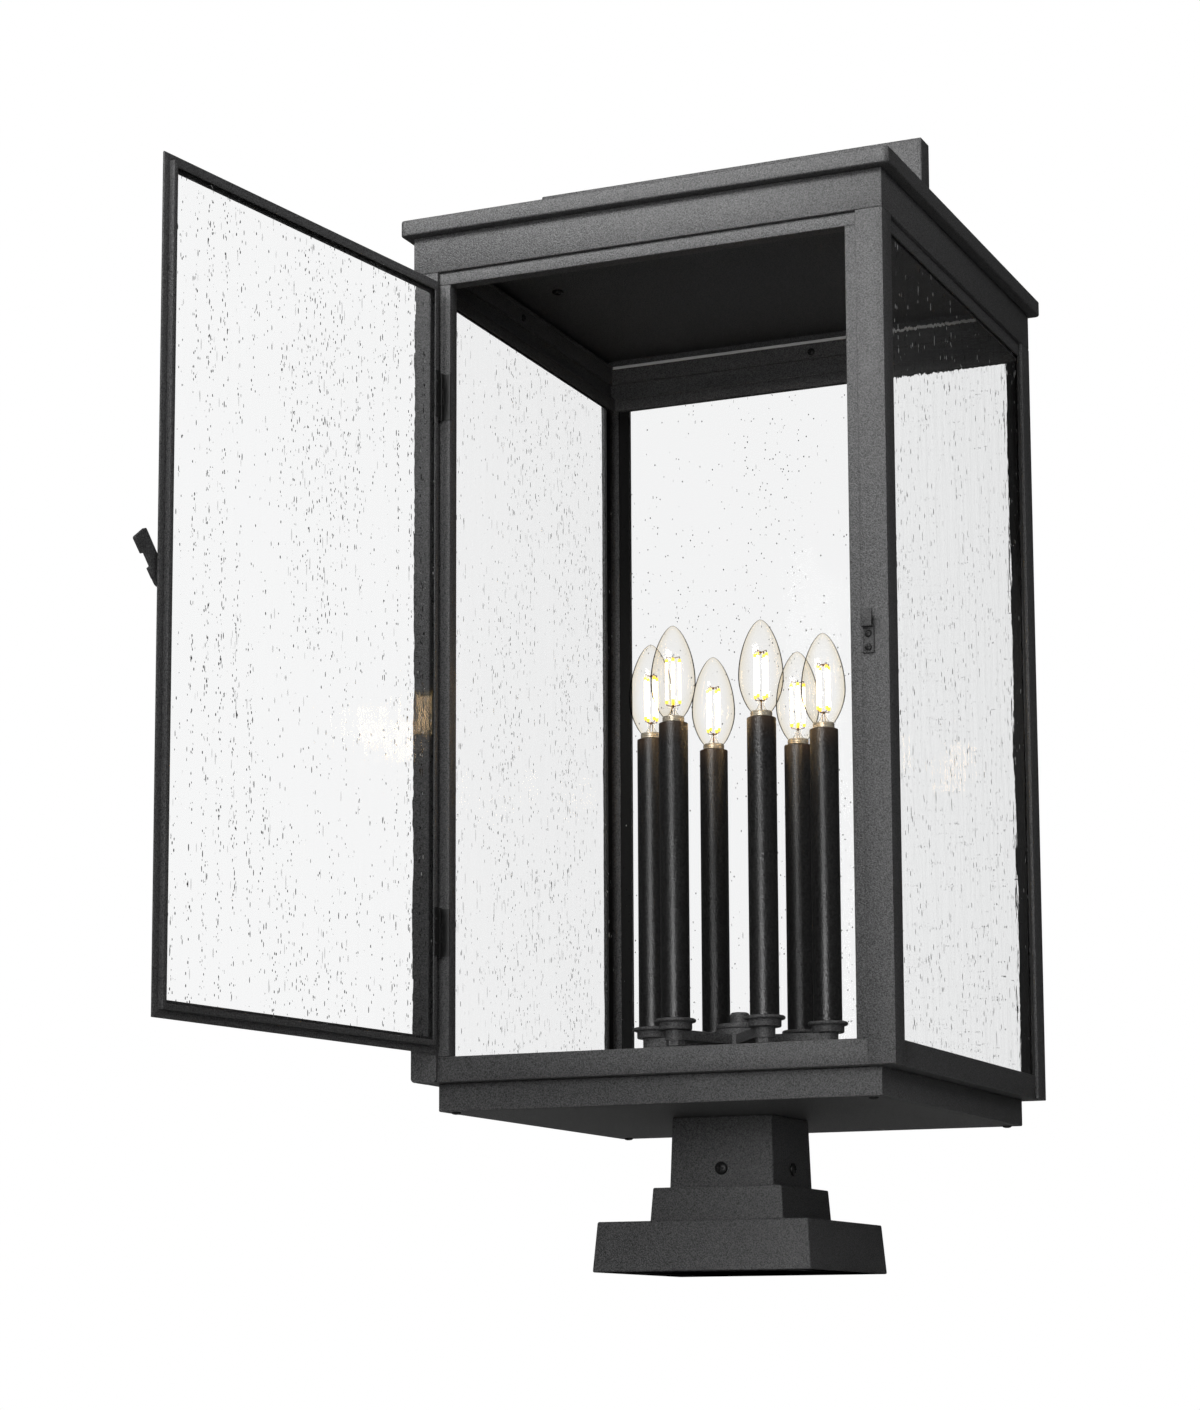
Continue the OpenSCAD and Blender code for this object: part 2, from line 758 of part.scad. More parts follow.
// Holes for the catch screws, through the catch, the post's leg and the stop behind it
module catch_screw_holes() {
    for (z = catch_screw_zs) translate([catch_mid_x, -half + post_t + rail_wall + 1, z])
        rotate([90, 0, 0])
            cylinder(r = small_screw_r + screw_clear, h = post_t + rail_wall + catch_t + 2);
}

// Two pan head screws that hold the catch
module catch_screws() {
    color(dark_metal) for (z = catch_screw_zs)
        translate([catch_mid_x, -half - catch_t, z]) rotate([90, 0, 0])
            pan_screw(catch_head_r, catch_head_h, small_screw_r, catch_t + post_t + rail_wall + 2);
}

// One hinge knuckle, centred on the hinge axis, with its bore
module knuckle(z, h) {
    translate([hinge_x, hinge_y, z]) difference() {
        cylinder(r = knuckle_r, h = h);
        translate([0, 0, -1]) cylinder(r = pin_r + pin_clear, h = h + 2);
    }
}

// Fixed leaves: flat on the left stop, with a knuckle at top and bottom
module hinge_leaves_frame() {
    leaf_x = hinge_x + knuckle_r + move_clear;
    color(dark_metal) for (zc = hinge_zs) difference() {
        union() {
            translate([leaf_x, -rail_out - leaf_t, zc - hinge_h / 2])
                cube([-frame_leaf_end - leaf_x, leaf_t, hinge_h]);
            for (z = [zc - hinge_h / 2, zc + hinge_h / 2 - knuckle_len]) {
                knuckle(z, knuckle_len);
                translate([hinge_x, -rail_out - leaf_t, z])
                    cube([-frame_leaf_end - hinge_x, leaf_t, knuckle_len]);
            }
        }
        leaf_screw_holes();
        translate([hinge_x, hinge_y, zc - hinge_h]) cylinder(r = pin_r + pin_clear, h = 2 * hinge_h);
    }
}

// Holes for the screws of the fixed leaves, through the leaves and into the left stop
module leaf_screw_holes() {
    for (zc = hinge_zs) for (s = [-1, 1])
        translate([-leaf_screw_x, -rail_out + leaf_screw_depth, zc + s * fixing_spacing / 2])
            rotate([90, 0, 0]) cylinder(r = leaf_fixing_r + seat_gap, h = leaf_screw_depth + leaf_t + 1);
}

// Flush screws that hold the fixed leaves
module hinge_screws() {
    color(dark_metal) for (zc = hinge_zs) for (s = [-1, 1])
        translate([-leaf_screw_x, -rail_out + leaf_screw_depth, zc + s * fixing_spacing / 2])
            rotate([90, 0, 0]) cylinder(r = leaf_fixing_r, h = leaf_screw_depth + leaf_t);
}

// Hinge pins with a small button at each end
module hinge_pins() {
    color(steel) for (zc = hinge_zs) translate([hinge_x, hinge_y, zc - hinge_h / 2]) {
        translate([0, 0, -disc_h]) cylinder(r = knuckle_r, h = disc_h);
        translate([0, 0, -eps]) cylinder(r = pin_r, h = hinge_h + 2 * eps);
        translate([0, 0, hinge_h]) cylinder(r = knuckle_r, h = disc_h);
    }
}

// Stem between the floor and the hub
module hub_stem() {
    color(metal) difference() {
        rod(stem_r, z_floor, hub_lift);
        rod(tube_r + seat_gap, z_floor - 1, hub_lift + 2);
    }
}

// Round hub that carries the arms
module cluster_hub() {
    color(metal) difference() {
        rod(hub_r, z_hub, hub_h);
        rod(tube_r + seat_gap, z_hub - 1, hub_h + 2);
    }
}

// Flat cap on the hub
module hub_cap() {
    color(metal) difference() {
        rod(hub_r, z_cap, cap_h);
        rod(tube_r + seat_gap, z_cap - 1, cap_h + 2);
    }
}

// Knob that screws down on the cap, with rounded top edges
module finial_knob() {
    round_r = 2;
    color(metal) difference() {
        translate([0, 0, z_knob]) rotate_extrude() union() {
            square([knob_r, knob_h - round_r]);
            square([knob_r - round_r, knob_h]);
            translate([knob_r - round_r, knob_h - round_r]) intersection() {
                circle(r = round_r);
                square(round_r);
            }
        }
        rod(tube_r + seat_gap, z_knob - 1, knob_h - 2.2);
    }
}

// Threaded tube that carries the wires and clamps knob, hub, floor, tray and neck together
module centre_tube() {
    low = z_tray - cast_wall - nut_h - 3;
    high = z_knob + knob_h - 4;
    color(steel) difference() {
        rod(tube_r, low, high - low);
        rod(tube_bore, low - 1, high - low + 2);
    }
}

// Nut under the top of the neck
module lock_nut() {
    color(steel) translate([0, 0, z_tray - cast_wall - nut_h])
        hex_nut(lock_nut_r, tube_r + seat_gap, nut_h);
}

// Six flat arms from the hub to the cups
module cluster_arms() {
    color(metal) candles() difference() {
        translate([0, 0, z_arm]) union() {
            cylinder(r = arm_w / 2, h = arm_h);
            translate([-ring_r, -arm_w / 2, 0]) cube([ring_r, arm_w, arm_h]);
        }
        rod(conduit_r + seat_gap, z_arm - 1, arm_h + 2);
        translate([-ring_r, 0, 0]) rod(hub_r + seat_gap, z_arm - 1, arm_h + 2);
    }
}

// Turned cups with a wide rim, which the sleeves stand in
module candle_cups() {
    rim_h = 2;
    color(metal) candles() translate([0, 0, z_arm_top]) rotate_extrude() polygon([
        [conduit_r + seat_gap, 0], [cup_r - 1, 0], [cup_r, 1], [cup_r, cup_h - rim_h - 0.6],
        [cup_rim_r - 0.6, cup_h - rim_h], [cup_rim_r, cup_h - rim_h / 2], [cup_rim_r - 0.4, cup_h],
        [sleeve_r + seat_gap, cup_h], [sleeve_r + seat_gap, z_sleeve - z_arm_top],
        [conduit_r + seat_gap, z_sleeve - z_arm_top]
    ]);
}

// Nuts under the arms
module stem_nuts() {
    color(steel) candles() translate([0, 0, z_arm - nut_h])
        hex_nut(stem_nut_r, conduit_r + seat_gap, nut_h);
}

// Thin tubes that carry the lamp holders inside the sleeves
module socket_stems() {
    low = z_arm - nut_h;
    high = z_holder + 8;
    color(steel) candles() difference() {
        rod(conduit_r, low, high - low);
        rod(conduit_bore, low - 1, high - low + 2);
    }
}

// Black candle sleeves
module candle_sleeves() {
    color("#1d1d1f") candles() difference() {
        rod(sleeve_r, z_sleeve, sleeve_h);
        rod(sleeve_r - sleeve_wall, z_sleeve - 1, sleeve_h + 2);
    }
}

// Lamp holders with a screw bore on top and the carrying tube below
module lamp_holders() {
    color("#151515") candles() difference() {
        rod(holder_r, z_holder, holder_h);
        rod(holder_bore, z_holder_top - holder_depth, holder_depth + 1);
        rod(conduit_r + seat_gap, z_holder - 1, 9);
    }
}

// Screw caps of the bulbs, with a foot contact and a wide collar
module bulb_caps() {
    low = z_holder_top - holder_depth;
    color("#b9a98a") candles() union() {
        rod(contact_r, low, contact_h + eps);
        rod(cap_screw_r, low + contact_h, z_collar - low - contact_h + eps);
        rod(collar_r, z_collar, collar_h);
    }
}

// Outline of a candle bulb: radius at height h for a glass of radius r and height top
function bulb_radius(h, r, top, foot) =
    h < bulb_belly * top
        ? foot + (r - foot) * pow(sin(90 * h / (bulb_belly * top)), 0.8)
        : r * pow(max(cos(90 * (h - bulb_belly * top) / (top - bulb_belly * top)), 0), 0.58);

// Heights at which the outline is drawn, closer together near the tip
function bulb_heights(top) = [for (i = [0 : 20]) top * sin(90 * i / 20)];

// Hollow candle shaped glass
module bulb_glass() {
    heights = bulb_heights(bulb_h);
    inner_top = bulb_h - 1.6 * bulb_wall;
    inner = bulb_heights(inner_top);
    color("lightyellow", 0.3) candles() translate([0, 0, z_bulb]) rotate_extrude() polygon(concat(
        [for (h = heights) [bulb_radius(h, bulb_r, bulb_h, bulb_foot), h]],
        [for (i = [0 : 20]) let (h = inner[20 - i])
            [bulb_radius(h, bulb_r - bulb_wall, inner_top, bulb_foot - bulb_wall), h]]
    ));
}

// Filament sets: a stem, a foot disc, four rods and a top disc
module bulb_filaments() {
    disc_r = filament_ring + filament_r + 0.3;
    color("gold") candles() translate([0, 0, z_bulb]) union() {
        cylinder(r1 = stem_foot_r, r2 = stem_top_r, h = filament_foot - disc_h, $fn = 24);
        translate([0, 0, filament_foot - disc_h - eps]) cylinder(r = disc_r, h = disc_h + eps, $fn = 24);
        for (a = [45 : 90 : 315]) rotate([0, 0, a]) translate([filament_ring, 0, filament_foot - eps])
            cylinder(r = filament_r, h = filament_h + 2 * eps, $fn = 16);
        translate([0, 0, filament_foot + filament_h]) cylinder(r = disc_r, h = disc_h, $fn = 24);
    }
}

// Cross section of a door frame member, from its outer edge inward and from its face inward
module door_profile() {
    polygon([
        [0, 0], [door_face_w, 0], [door_face_w, door_face_t],
        [door_margin + channel_wall, door_face_t],
        [door_margin + channel_wall, door_face_t + channel_depth - channel_lip],
        [door_margin + channel_w, door_face_t + channel_depth - channel_lip],
        [door_margin + channel_w, door_face_t + channel_depth],
        [door_margin, door_face_t + channel_depth], [door_margin, door_face_t], [0, door_face_t]
    ]);
}

// Door frame member of the given length, centred, outer edge down, both ends mitred
module door_member(length) {
    reach = 2 * door_face_w;
    difference() {
        translate([-length / 2, face_out_y, 0]) rotate([90, 0, 90])
            linear_extrude(height = length) rotate([0, 0, 90]) mirror([0, 1]) door_profile();
        for (s = [-1, 1]) translate([s * length / 2, 0, 0]) rotate([0, -s * 45, 0])
            translate([s > 0 ? 0 : -reach, face_out_y - reach, -reach])
                cube([reach, 3 * reach, 3 * reach]);
    }
}

// Place of the four door members round the closed door
module door_side(turn) {
    length = (turn == 0 || turn == 180) ? door_w : door_h;
    offset_out = (turn == 0 || turn == 180) ? door_h / 2 : door_w / 2;
    translate([(door_left + door_right) / 2, 0, (door_low + door_high) / 2]) rotate([0, turn, 0])
        translate([0, 0, -offset_out]) door_member(length);
}

// Stile on the hinge side
module door_stile_hinge() {
    color(metal) on_door() door_side(90);
}

// Stile on the free side, bored for the lever pivot
module door_stile_free() {
    color(metal) on_door() difference() {
        door_side(270);
        translate([pivot_x, face_out_y - 1, pivot_z]) rotate([-90, 0, 0])
            cylinder(r = pivot_r + seat_gap, h = door_face_t + 1);
    }
}

// Top member of the door
module door_rail_top() {
    color(metal) on_door() door_side(180);
}

// Bottom member of the door
module door_rail_bottom() {
    color(metal) on_door() door_side(0);
}

// Pane of the door, held in the four channels
module door_glass() {
    color("lightcyan", 0.35) on_door()
        translate([door_left + door_glass_edge, face_in_y, door_low + door_glass_edge])
            cube([door_w - 2 * door_glass_edge, glass_t, door_h - 2 * door_glass_edge]);
}

// Moving leaves: from the knuckle over the face sheet, up and over the glazing channel
module hinge_leaves_door() {
    mid_z = hinge_h / 2 - knuckle_len - knuckle_gap;
    leaf_x = hinge_x + knuckle_r + move_clear;
    web_x = door_left + door_margin - leaf_t;
    over_y = face_in_y + channel_depth;
    color(dark_metal) on_door() for (zc = hinge_zs) difference() {
        union() {
            knuckle(zc - mid_z, 2 * mid_z);
            translate([hinge_x, hinge_y, zc - mid_z]) cube([web_x - hinge_x, leaf_t, 2 * mid_z]);
            translate([leaf_x, hinge_y, zc - hinge_h / 2]) cube([web_x - leaf_x + leaf_t, leaf_t, hinge_h]);
            translate([web_x, hinge_y, zc - hinge_h / 2]) cube([leaf_t, channel_depth + leaf_t, hinge_h]);
            translate([web_x, over_y, zc - hinge_h / 2]) cube([channel_w + leaf_t, leaf_t, hinge_h]);
        }
        translate([hinge_x, hinge_y, zc - hinge_h]) cylinder(r = pin_r + pin_clear, h = 2 * hinge_h);
        for (s = [-1, 1]) translate([door_left + rivet_in, over_y - 1, zc + s * fixing_spacing / 2])
            rotate([-90, 0, 0]) cylinder(r = leaf_fixing_r + seat_gap, h = leaf_t + 2);
    }
}

// Rivets that hold the moving leaves, seen inside the door
module hinge_rivets() {
    over_y = face_in_y + channel_depth + leaf_t;
    color(steel) on_door() for (zc = hinge_zs) for (s = [-1, 1])
        translate([door_left + rivet_in, over_y, zc + s * fixing_spacing / 2]) rotate([-90, 0, 0]) {
            cylinder(r1 = rivet_head_r, r2 = rivet_head_r * 0.6, h = rivet_head_h);
            translate([0, 0, -leaf_t]) cylinder(r = leaf_fixing_r, h = leaf_t + eps);
        }
}

// Flat lever with a notch in its lower edge that drops over the catch
module latch_lever() {
    corner = 1.5;
    color(metal) on_lever() translate([0, lever_back_y, 0]) rotate([90, 0, 0])
        linear_extrude(height = lever_t) difference() {
            union() {
                circle(r = lever_tail_r);
                translate([0, -lever_tail_r]) square([notch_start - 2, 2 * lever_tail_r]);
                translate([3, -lever_w / 2]) square([lever_len - 3 - corner, lever_w]);
                translate([3, -lever_w / 2 + corner]) square([lever_len - 3, lever_w - 2 * corner]);
                for (s = [-1, 1]) translate([lever_len - corner, s * (lever_w / 2 - corner)])
                    circle(r = corner, $fn = 24);
            }
            translate([notch_start, -lever_w]) square([notch_end - notch_start, lever_w - notch_edge]);
            circle(r = pivot_r + seat_gap);
        }
}

// Shouldered rivet with a spacer collar that the lever turns on
module latch_pivot() {
    collar_h = lever_stand - seat_gap;
    shank = door_face_t + lever_stand + lever_t + seat_gap;
    color(steel) on_door() translate([pivot_x, face_in_y, pivot_z]) rotate([90, 0, 0]) {
        cylinder(r = pivot_r, h = shank + eps);
        translate([0, 0, door_face_t]) cylinder(r = pivot_head_r, h = collar_h);
        translate([0, 0, shank]) cylinder(r1 = pivot_head_r, r2 = pivot_head_r * 0.7, h = pivot_head_h);
    }
}

mounting_plate();
mounting_post();
pier_base();
neck_screws();
bottom_tray();
tray_bolts();
tray_screws();
floor_plate();
corner_post(-1, -1);  // post_front_left
corner_post(1, -1);  // post_front_right
corner_post(-1, 1);  // post_rear_left
corner_post(1, 1);  // post_rear_right
rail(false);  // rail_front
rotate([0, 0, 180]) rail(true);  // rail_rear
rotate([0, 0, 270]) rail(true);  // rail_left
rotate([0, 0, 90]) rail(true);  // rail_right
strip_front();
rotate([0, 0, 180]) top_channel();  // channel_rear
rotate([0, 0, 270]) top_channel();  // channel_left
rotate([0, 0, 90]) top_channel();  // channel_right
door_stop(-1);  // door_stop_left
door_stop(1);  // door_stop_right
fascia_frame();
roof_pan();
roof_screws();
top_handle();
handle_screws();
rotate([0, 0, 180]) pane();  // glass_rear
rotate([0, 0, 270]) pane();  // glass_left
rotate([0, 0, 90]) pane();  // glass_right
glazing_tapes();
catch_hook();
catch_screws();
hinge_leaves_frame();
hinge_screws();
hinge_pins();
hub_stem();
cluster_hub();
hub_cap();
finial_knob();
centre_tube();
lock_nut();
cluster_arms();
candle_cups();
stem_nuts();
socket_stems();
candle_sleeves();
lamp_holders();
bulb_caps();
bulb_glass();
bulb_filaments();
door_stile_hinge();
door_stile_free();
door_rail_top();
door_rail_bottom();
door_glass();
hinge_leaves_door();
hinge_rivets();
latch_lever();
latch_pivot();
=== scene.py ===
# %% [markdown]
# # A pier mount lantern
# This script dresses the solid model of a square garden lantern: a black powder coated frame, seeded
# glass panes, an open door with a swing latch, and six candle lamps on a hub. The solids give every
# place and size. Here their sharp edges are eased, the turned parts and the lamps are modelled in
# full, and each finish gets its own material.

# %% The frame to build on
import json
import math
import random

import bmesh
import bpy
from mathutils import Matrix, Vector


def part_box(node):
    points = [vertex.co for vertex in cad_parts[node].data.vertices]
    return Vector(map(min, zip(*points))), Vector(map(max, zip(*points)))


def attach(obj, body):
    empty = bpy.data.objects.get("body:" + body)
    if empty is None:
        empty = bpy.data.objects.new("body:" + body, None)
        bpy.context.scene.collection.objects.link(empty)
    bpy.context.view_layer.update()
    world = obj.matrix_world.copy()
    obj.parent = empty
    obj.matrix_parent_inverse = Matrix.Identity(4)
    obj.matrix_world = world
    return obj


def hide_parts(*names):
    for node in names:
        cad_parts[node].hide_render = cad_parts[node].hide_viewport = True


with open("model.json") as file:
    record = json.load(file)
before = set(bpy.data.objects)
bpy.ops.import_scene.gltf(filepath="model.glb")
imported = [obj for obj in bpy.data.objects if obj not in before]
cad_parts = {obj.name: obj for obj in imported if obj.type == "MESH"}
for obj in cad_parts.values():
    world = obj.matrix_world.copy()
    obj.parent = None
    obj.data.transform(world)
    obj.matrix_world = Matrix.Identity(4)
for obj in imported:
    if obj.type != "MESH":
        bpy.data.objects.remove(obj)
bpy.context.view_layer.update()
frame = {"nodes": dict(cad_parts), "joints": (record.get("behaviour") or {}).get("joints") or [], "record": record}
MM = 0.001

# %% [markdown]
# ## The camera
# The photograph looks up at the lantern from low on its right. A camera that stands too close or too
# far shows the same parts at other sizes, so its place was worked out from the corners of the frame,
# roof, base and door. It is set here by where it stands, which way it points and its lens. The
# upright edges in the photograph hardly lean together, so the lens was shifted upward a little.

# %% Camera
CAMERA_AT = Vector((0.9141, -2.3703, -0.0629))
TURN = math.radians(23.533)
RISE = math.radians(7.925)
ROLL = math.radians(-0.246)
FOCAL_PIXELS = 3279.5
LONG_SIDE_PIXELS = 1410
LENS_DROP_PIXELS = 195
SENSOR = 36.0

forward = Vector((-math.sin(TURN) * math.cos(RISE), math.cos(TURN) * math.cos(RISE), math.sin(RISE)))
level = Vector((math.cos(TURN), math.sin(TURN), 0))
upward = level.cross(forward)
right = level * math.cos(ROLL) + upward * math.sin(ROLL)
top = upward * math.cos(ROLL) - level * math.sin(ROLL)

camera_data = bpy.data.cameras.new("camera")
camera_data.sensor_width = SENSOR
camera_data.lens = FOCAL_PIXELS * SENSOR / LONG_SIDE_PIXELS
camera_data.shift_y = LENS_DROP_PIXELS / LONG_SIDE_PIXELS
camera_data.clip_start = 0.05
camera_data.clip_end = 50
camera = bpy.data.objects.new("camera", camera_data)
bpy.context.scene.collection.objects.link(camera)
camera.matrix_world = Matrix.Translation(CAMERA_AT) @ Matrix((right, top, -forward)).transposed().to_4x4()
bpy.context.scene.camera = camera
print("lens", round(camera_data.lens, 2), "mm")

# %% [markdown]
# ## Writing materials as sums
# A powder coat is a few lines of arithmetic: a grain pattern times a strength, plus a base tone.
# Wiring Math nodes by hand hides that. `Value` wraps one output of a material, so that `+`, `-`, `*`
# and comparisons add the nodes. `Finish` holds one material and adds any other node by its type,
# its settings and what goes into its sockets.

# %% Values that add Math nodes
class Value:
    def __init__(self, finish, socket):
        self.finish = finish
        self.socket = socket

    def math(self, operation, first, second=0.0):
        settings = {"operation": operation}
        return self.finish.node("ShaderNodeMath", settings, {0: first, 1: second})

    def __add__(self, other):
        return self.math("ADD", self, other)

    def __sub__(self, other):
        return self.math("SUBTRACT", self, other)

    def __mul__(self, other):
        return self.math("MULTIPLY", self, other)

    def __truediv__(self, other):
        return self.math("DIVIDE", self, other)

    def __pow__(self, other):
        return self.math("POWER", self, other)

    def __lt__(self, other):
        return self.math("LESS_THAN", self, other)

    def __gt__(self, other):
        return self.math("GREATER_THAN", self, other)

    def __rsub__(self, other):
        return self.math("SUBTRACT", other, self)

    __radd__ = __add__
    __rmul__ = __mul__

    def limited(self):
        return self.finish.node("ShaderNodeClamp", {}, {"Value": self})

# %% [markdown]
# ## One class for a whole finish
# Every finish below starts as an empty material and ends in one surface. The same few nodes come up
# each time: a place on the piece, noise, a blend of two colours, a bump and a see through skin. They
# could be wired where they are used, but as methods they read like a recipe.

# %% A material and its nodes
class Finish:
    def __init__(self, name, tree=None):
        if tree is None:
            self.material = bpy.data.materials.new(name)
            self.material.use_nodes = True
            tree = self.material.node_tree
        self.tree = tree
        self.tree.nodes.clear()

    def node(self, kind, settings=None, sockets=None, output=0):
        made = self.tree.nodes.new(kind)
        for key, setting in (settings or {}).items():
            setattr(made, key, setting)
        for key, given in (sockets or {}).items():
            if isinstance(given, Value):
                self.tree.links.new(given.socket, made.inputs[key])
            else:
                made.inputs[key].default_value = given
        return Value(self, made.outputs[output]) if made.outputs else made

    def place(self):
        return self.node("ShaderNodeTexCoord", output="Object")

    def stretched(self, scale):
        return self.node("ShaderNodeMapping", {}, {"Vector": self.place(), "Scale": scale})

    def noise(self, where, scale, detail=2.0, rough=0.5):
        sockets = {"Vector": where, "Scale": scale, "Detail": detail, "Roughness": rough}
        return self.node("ShaderNodeTexNoise", {}, sockets)

    def blend(self, amount, low, high):
        sockets = {0: amount, 6: low, 7: high}
        return self.node("ShaderNodeMix", {"data_type": "RGBA"}, sockets, 2)

    def bump(self, height, distance, strength=1.0):
        return self.node("ShaderNodeBump", {}, {"Height": height, "Distance": distance, "Strength": strength})

    def surface(self, sockets):
        return self.node("ShaderNodeBsdfPrincipled", {}, sockets)

    def see_through(self, colour):
        return self.node("ShaderNodeBsdfTransparent", {}, {"Color": colour})

    def mixed(self, amount, first, second):
        return self.node("ShaderNodeMixShader", {}, {0: amount, 1: first, 2: second})

    def done(self, shader):
        self.node("ShaderNodeOutputMaterial", {}, {"Surface": shader})
        return self.material


def grey(tone):
    return (tone, tone, tone, 1.0)

# %% [markdown]
# ## Black powder coat
# The lantern's metal is baked with a fine textured black powder. Close up it is a skin of tiny
# beads about half a millimetre wide, which catch the light one by one, so that a lit face looks
# grey and grainy and an unlit one nearly black. An image could hold that grain, but noise in the
# metal's own coordinates is sharp at any distance and the same on every piece. The coordinates are
# turned a little, because this noise fades on faces that lie along its cells.

# %% Powder coat
def powder_coat(name, tone, grain):
    coat = Finish(name)
    where = coat.node("ShaderNodeMapping", {}, {"Vector": coat.place(), "Rotation": (0.5, 0.7, 0.3)})
    beads = coat.noise(where, 1000.0, detail=1.0, rough=0.6)
    clouds = coat.noise(where, 22.0, detail=3.0)
    lit = ((beads - 0.5) * grain + 0.5 + (clouds - 0.5) * 0.12).limited()
    return coat.done(coat.surface({
        "Base Color": coat.blend(lit, grey(tone * 0.3), (tone * 1.75, tone * 1.75, tone * 1.78, 1.0)),
        "Roughness": (0.52 - beads * 0.1).limited(),
        "Normal": coat.bump(beads, 0.0004),
        "Specular IOR Level": 0.42,
    }))

# %% [markdown]
# ## Fixings and hidden steel
# Screws and hinge leaves are blackened steel: smoother than the coat, with a dull sheen and rubbed
# spots. The plate, post, nuts and tubes out of sight are zinc plated, a pale metal with cloudy spangles.

# %% Blackened and zinc plated steel
def blackened_steel():
    steel = Finish("blackened_steel")
    rubbed = steel.noise(steel.place(), 260.0, detail=4.0, rough=0.6)
    return steel.done(steel.surface({
        "Base Color": steel.blend(rubbed, (0.004, 0.004, 0.005, 1), (0.030, 0.030, 0.029, 1)),
        "Metallic": 0.35,
        "Roughness": 0.3 + rubbed * 0.22,
        "Normal": steel.bump(rubbed, 0.00006, 0.5),
    }))


def zinc_plate():
    zinc = Finish("zinc_plate")
    where = zinc.place()
    spangle = zinc.node("ShaderNodeTexVoronoi", {}, {"Vector": where, "Scale": 130.0}, "Distance")
    haze = zinc.noise(where, 40.0, detail=3.0)
    cloudy = (spangle * 0.6 + haze * 0.4).limited()
    return zinc.done(zinc.surface({
        "Base Color": zinc.blend(cloudy, (0.36, 0.37, 0.38, 1), (0.66, 0.67, 0.68, 1)),
        "Metallic": 1.0,
        "Roughness": 0.32 + haze * 0.2,
        "Normal": zinc.bump(spangle, 0.00005, 0.4),
    }))

# %% [markdown]
# ## Candle sleeves and tape
# The sleeves are satin black tubes. Lamp light soaks into their thin top edge, and that glow is painted
# into their colour: a warm brown ring that fades within two fingers' width. The tape behind the corner
# angles is dull rubber.

# %% Sleeve plastic and glazing rubber
SLEEVE_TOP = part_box("candle_sleeves")[1].z
# Depth of the painted lamp glow below the sleeves' top.
PAINTED_GLOW_DEPTH = 22 * MM
print("sleeve top", round(SLEEVE_TOP / MM, 1), "mm")


def sleeve_black():
    plastic = Finish("sleeve_black")
    where = plastic.place()
    height = plastic.node("ShaderNodeSeparateXYZ", {}, {0: where}, "Z")
    orange_peel = plastic.noise(where, 640.0)
    # Painted lamp glow: the colour turns warm brown over the top of each sleeve.
    painted_glow = ((height - (SLEEVE_TOP - PAINTED_GLOW_DEPTH)) / PAINTED_GLOW_DEPTH).limited() ** 2.0
    black = plastic.blend(((orange_peel - 0.5) * 3.0 + 0.5).limited(), grey(0.003), grey(0.022))
    colour = plastic.blend(painted_glow * 0.75, black, (0.07, 0.045, 0.028, 1))
    return plastic.done(plastic.surface({
        "Base Color": colour,
        "Roughness": 0.25 + orange_peel * 0.12,
        "Specular IOR Level": 0.6,
        "Normal": plastic.bump(orange_peel, 0.0003),
    }))


def glazing_rubber():
    rubber = Finish("glazing_rubber")
    pores = rubber.noise(rubber.place(), 700.0, detail=3.0)
    return rubber.done(rubber.surface({
        "Base Color": rubber.blend(pores, grey(0.012), grey(0.04)),
        "Roughness": 0.75 + pores * 0.15,
        "Normal": rubber.bump(pores, 0.0001, 0.5),
    }))

# %% [markdown]
# ## Seeded glass
# The panes are clear glass full of seeds: trapped bubbles that were drawn out upright while the sheet
# was made. Before a white wall each one is a short dark dash, and before the black frame a light
# speck. Thousands of modelled bubbles would be slow, so most are a pattern: cells stretched upright,
# each with a small core that turns from clear glass to a painted skin, near black in most cells as
# painted shade for the light a bubble bends away, and pale in the rest as a painted glint. Slow upright
# waves in the bump make the edges behind the pane wander as they do in the photograph. Light for the
# inside passes straight through.

# %% Glass with seeds and waves
def seed_mask(glass, where, scale, offset, share, width):
    """Where a seed lies: near a cell's middle, in the given share of the cells."""
    shifted = glass.node("ShaderNodeMapping", {}, {"Vector": where, "Location": offset, "Scale": scale})
    sockets = {"Vector": shifted, "Scale": 1.0}
    cells = glass.node("ShaderNodeTexVoronoi", {"feature": "F1"}, sockets, "Distance")
    tones = Value(glass, cells.socket.node.outputs["Color"])
    pick_tone, size_tone, shade_tone = [
        glass.node("ShaderNodeSeparateColor", {}, {0: tones}, channel) for channel in range(3)]
    held = (pick_tone + share) > 1.0
    return held * (cells < ((size_tone * 0.65 + 0.35) * width)), shade_tone


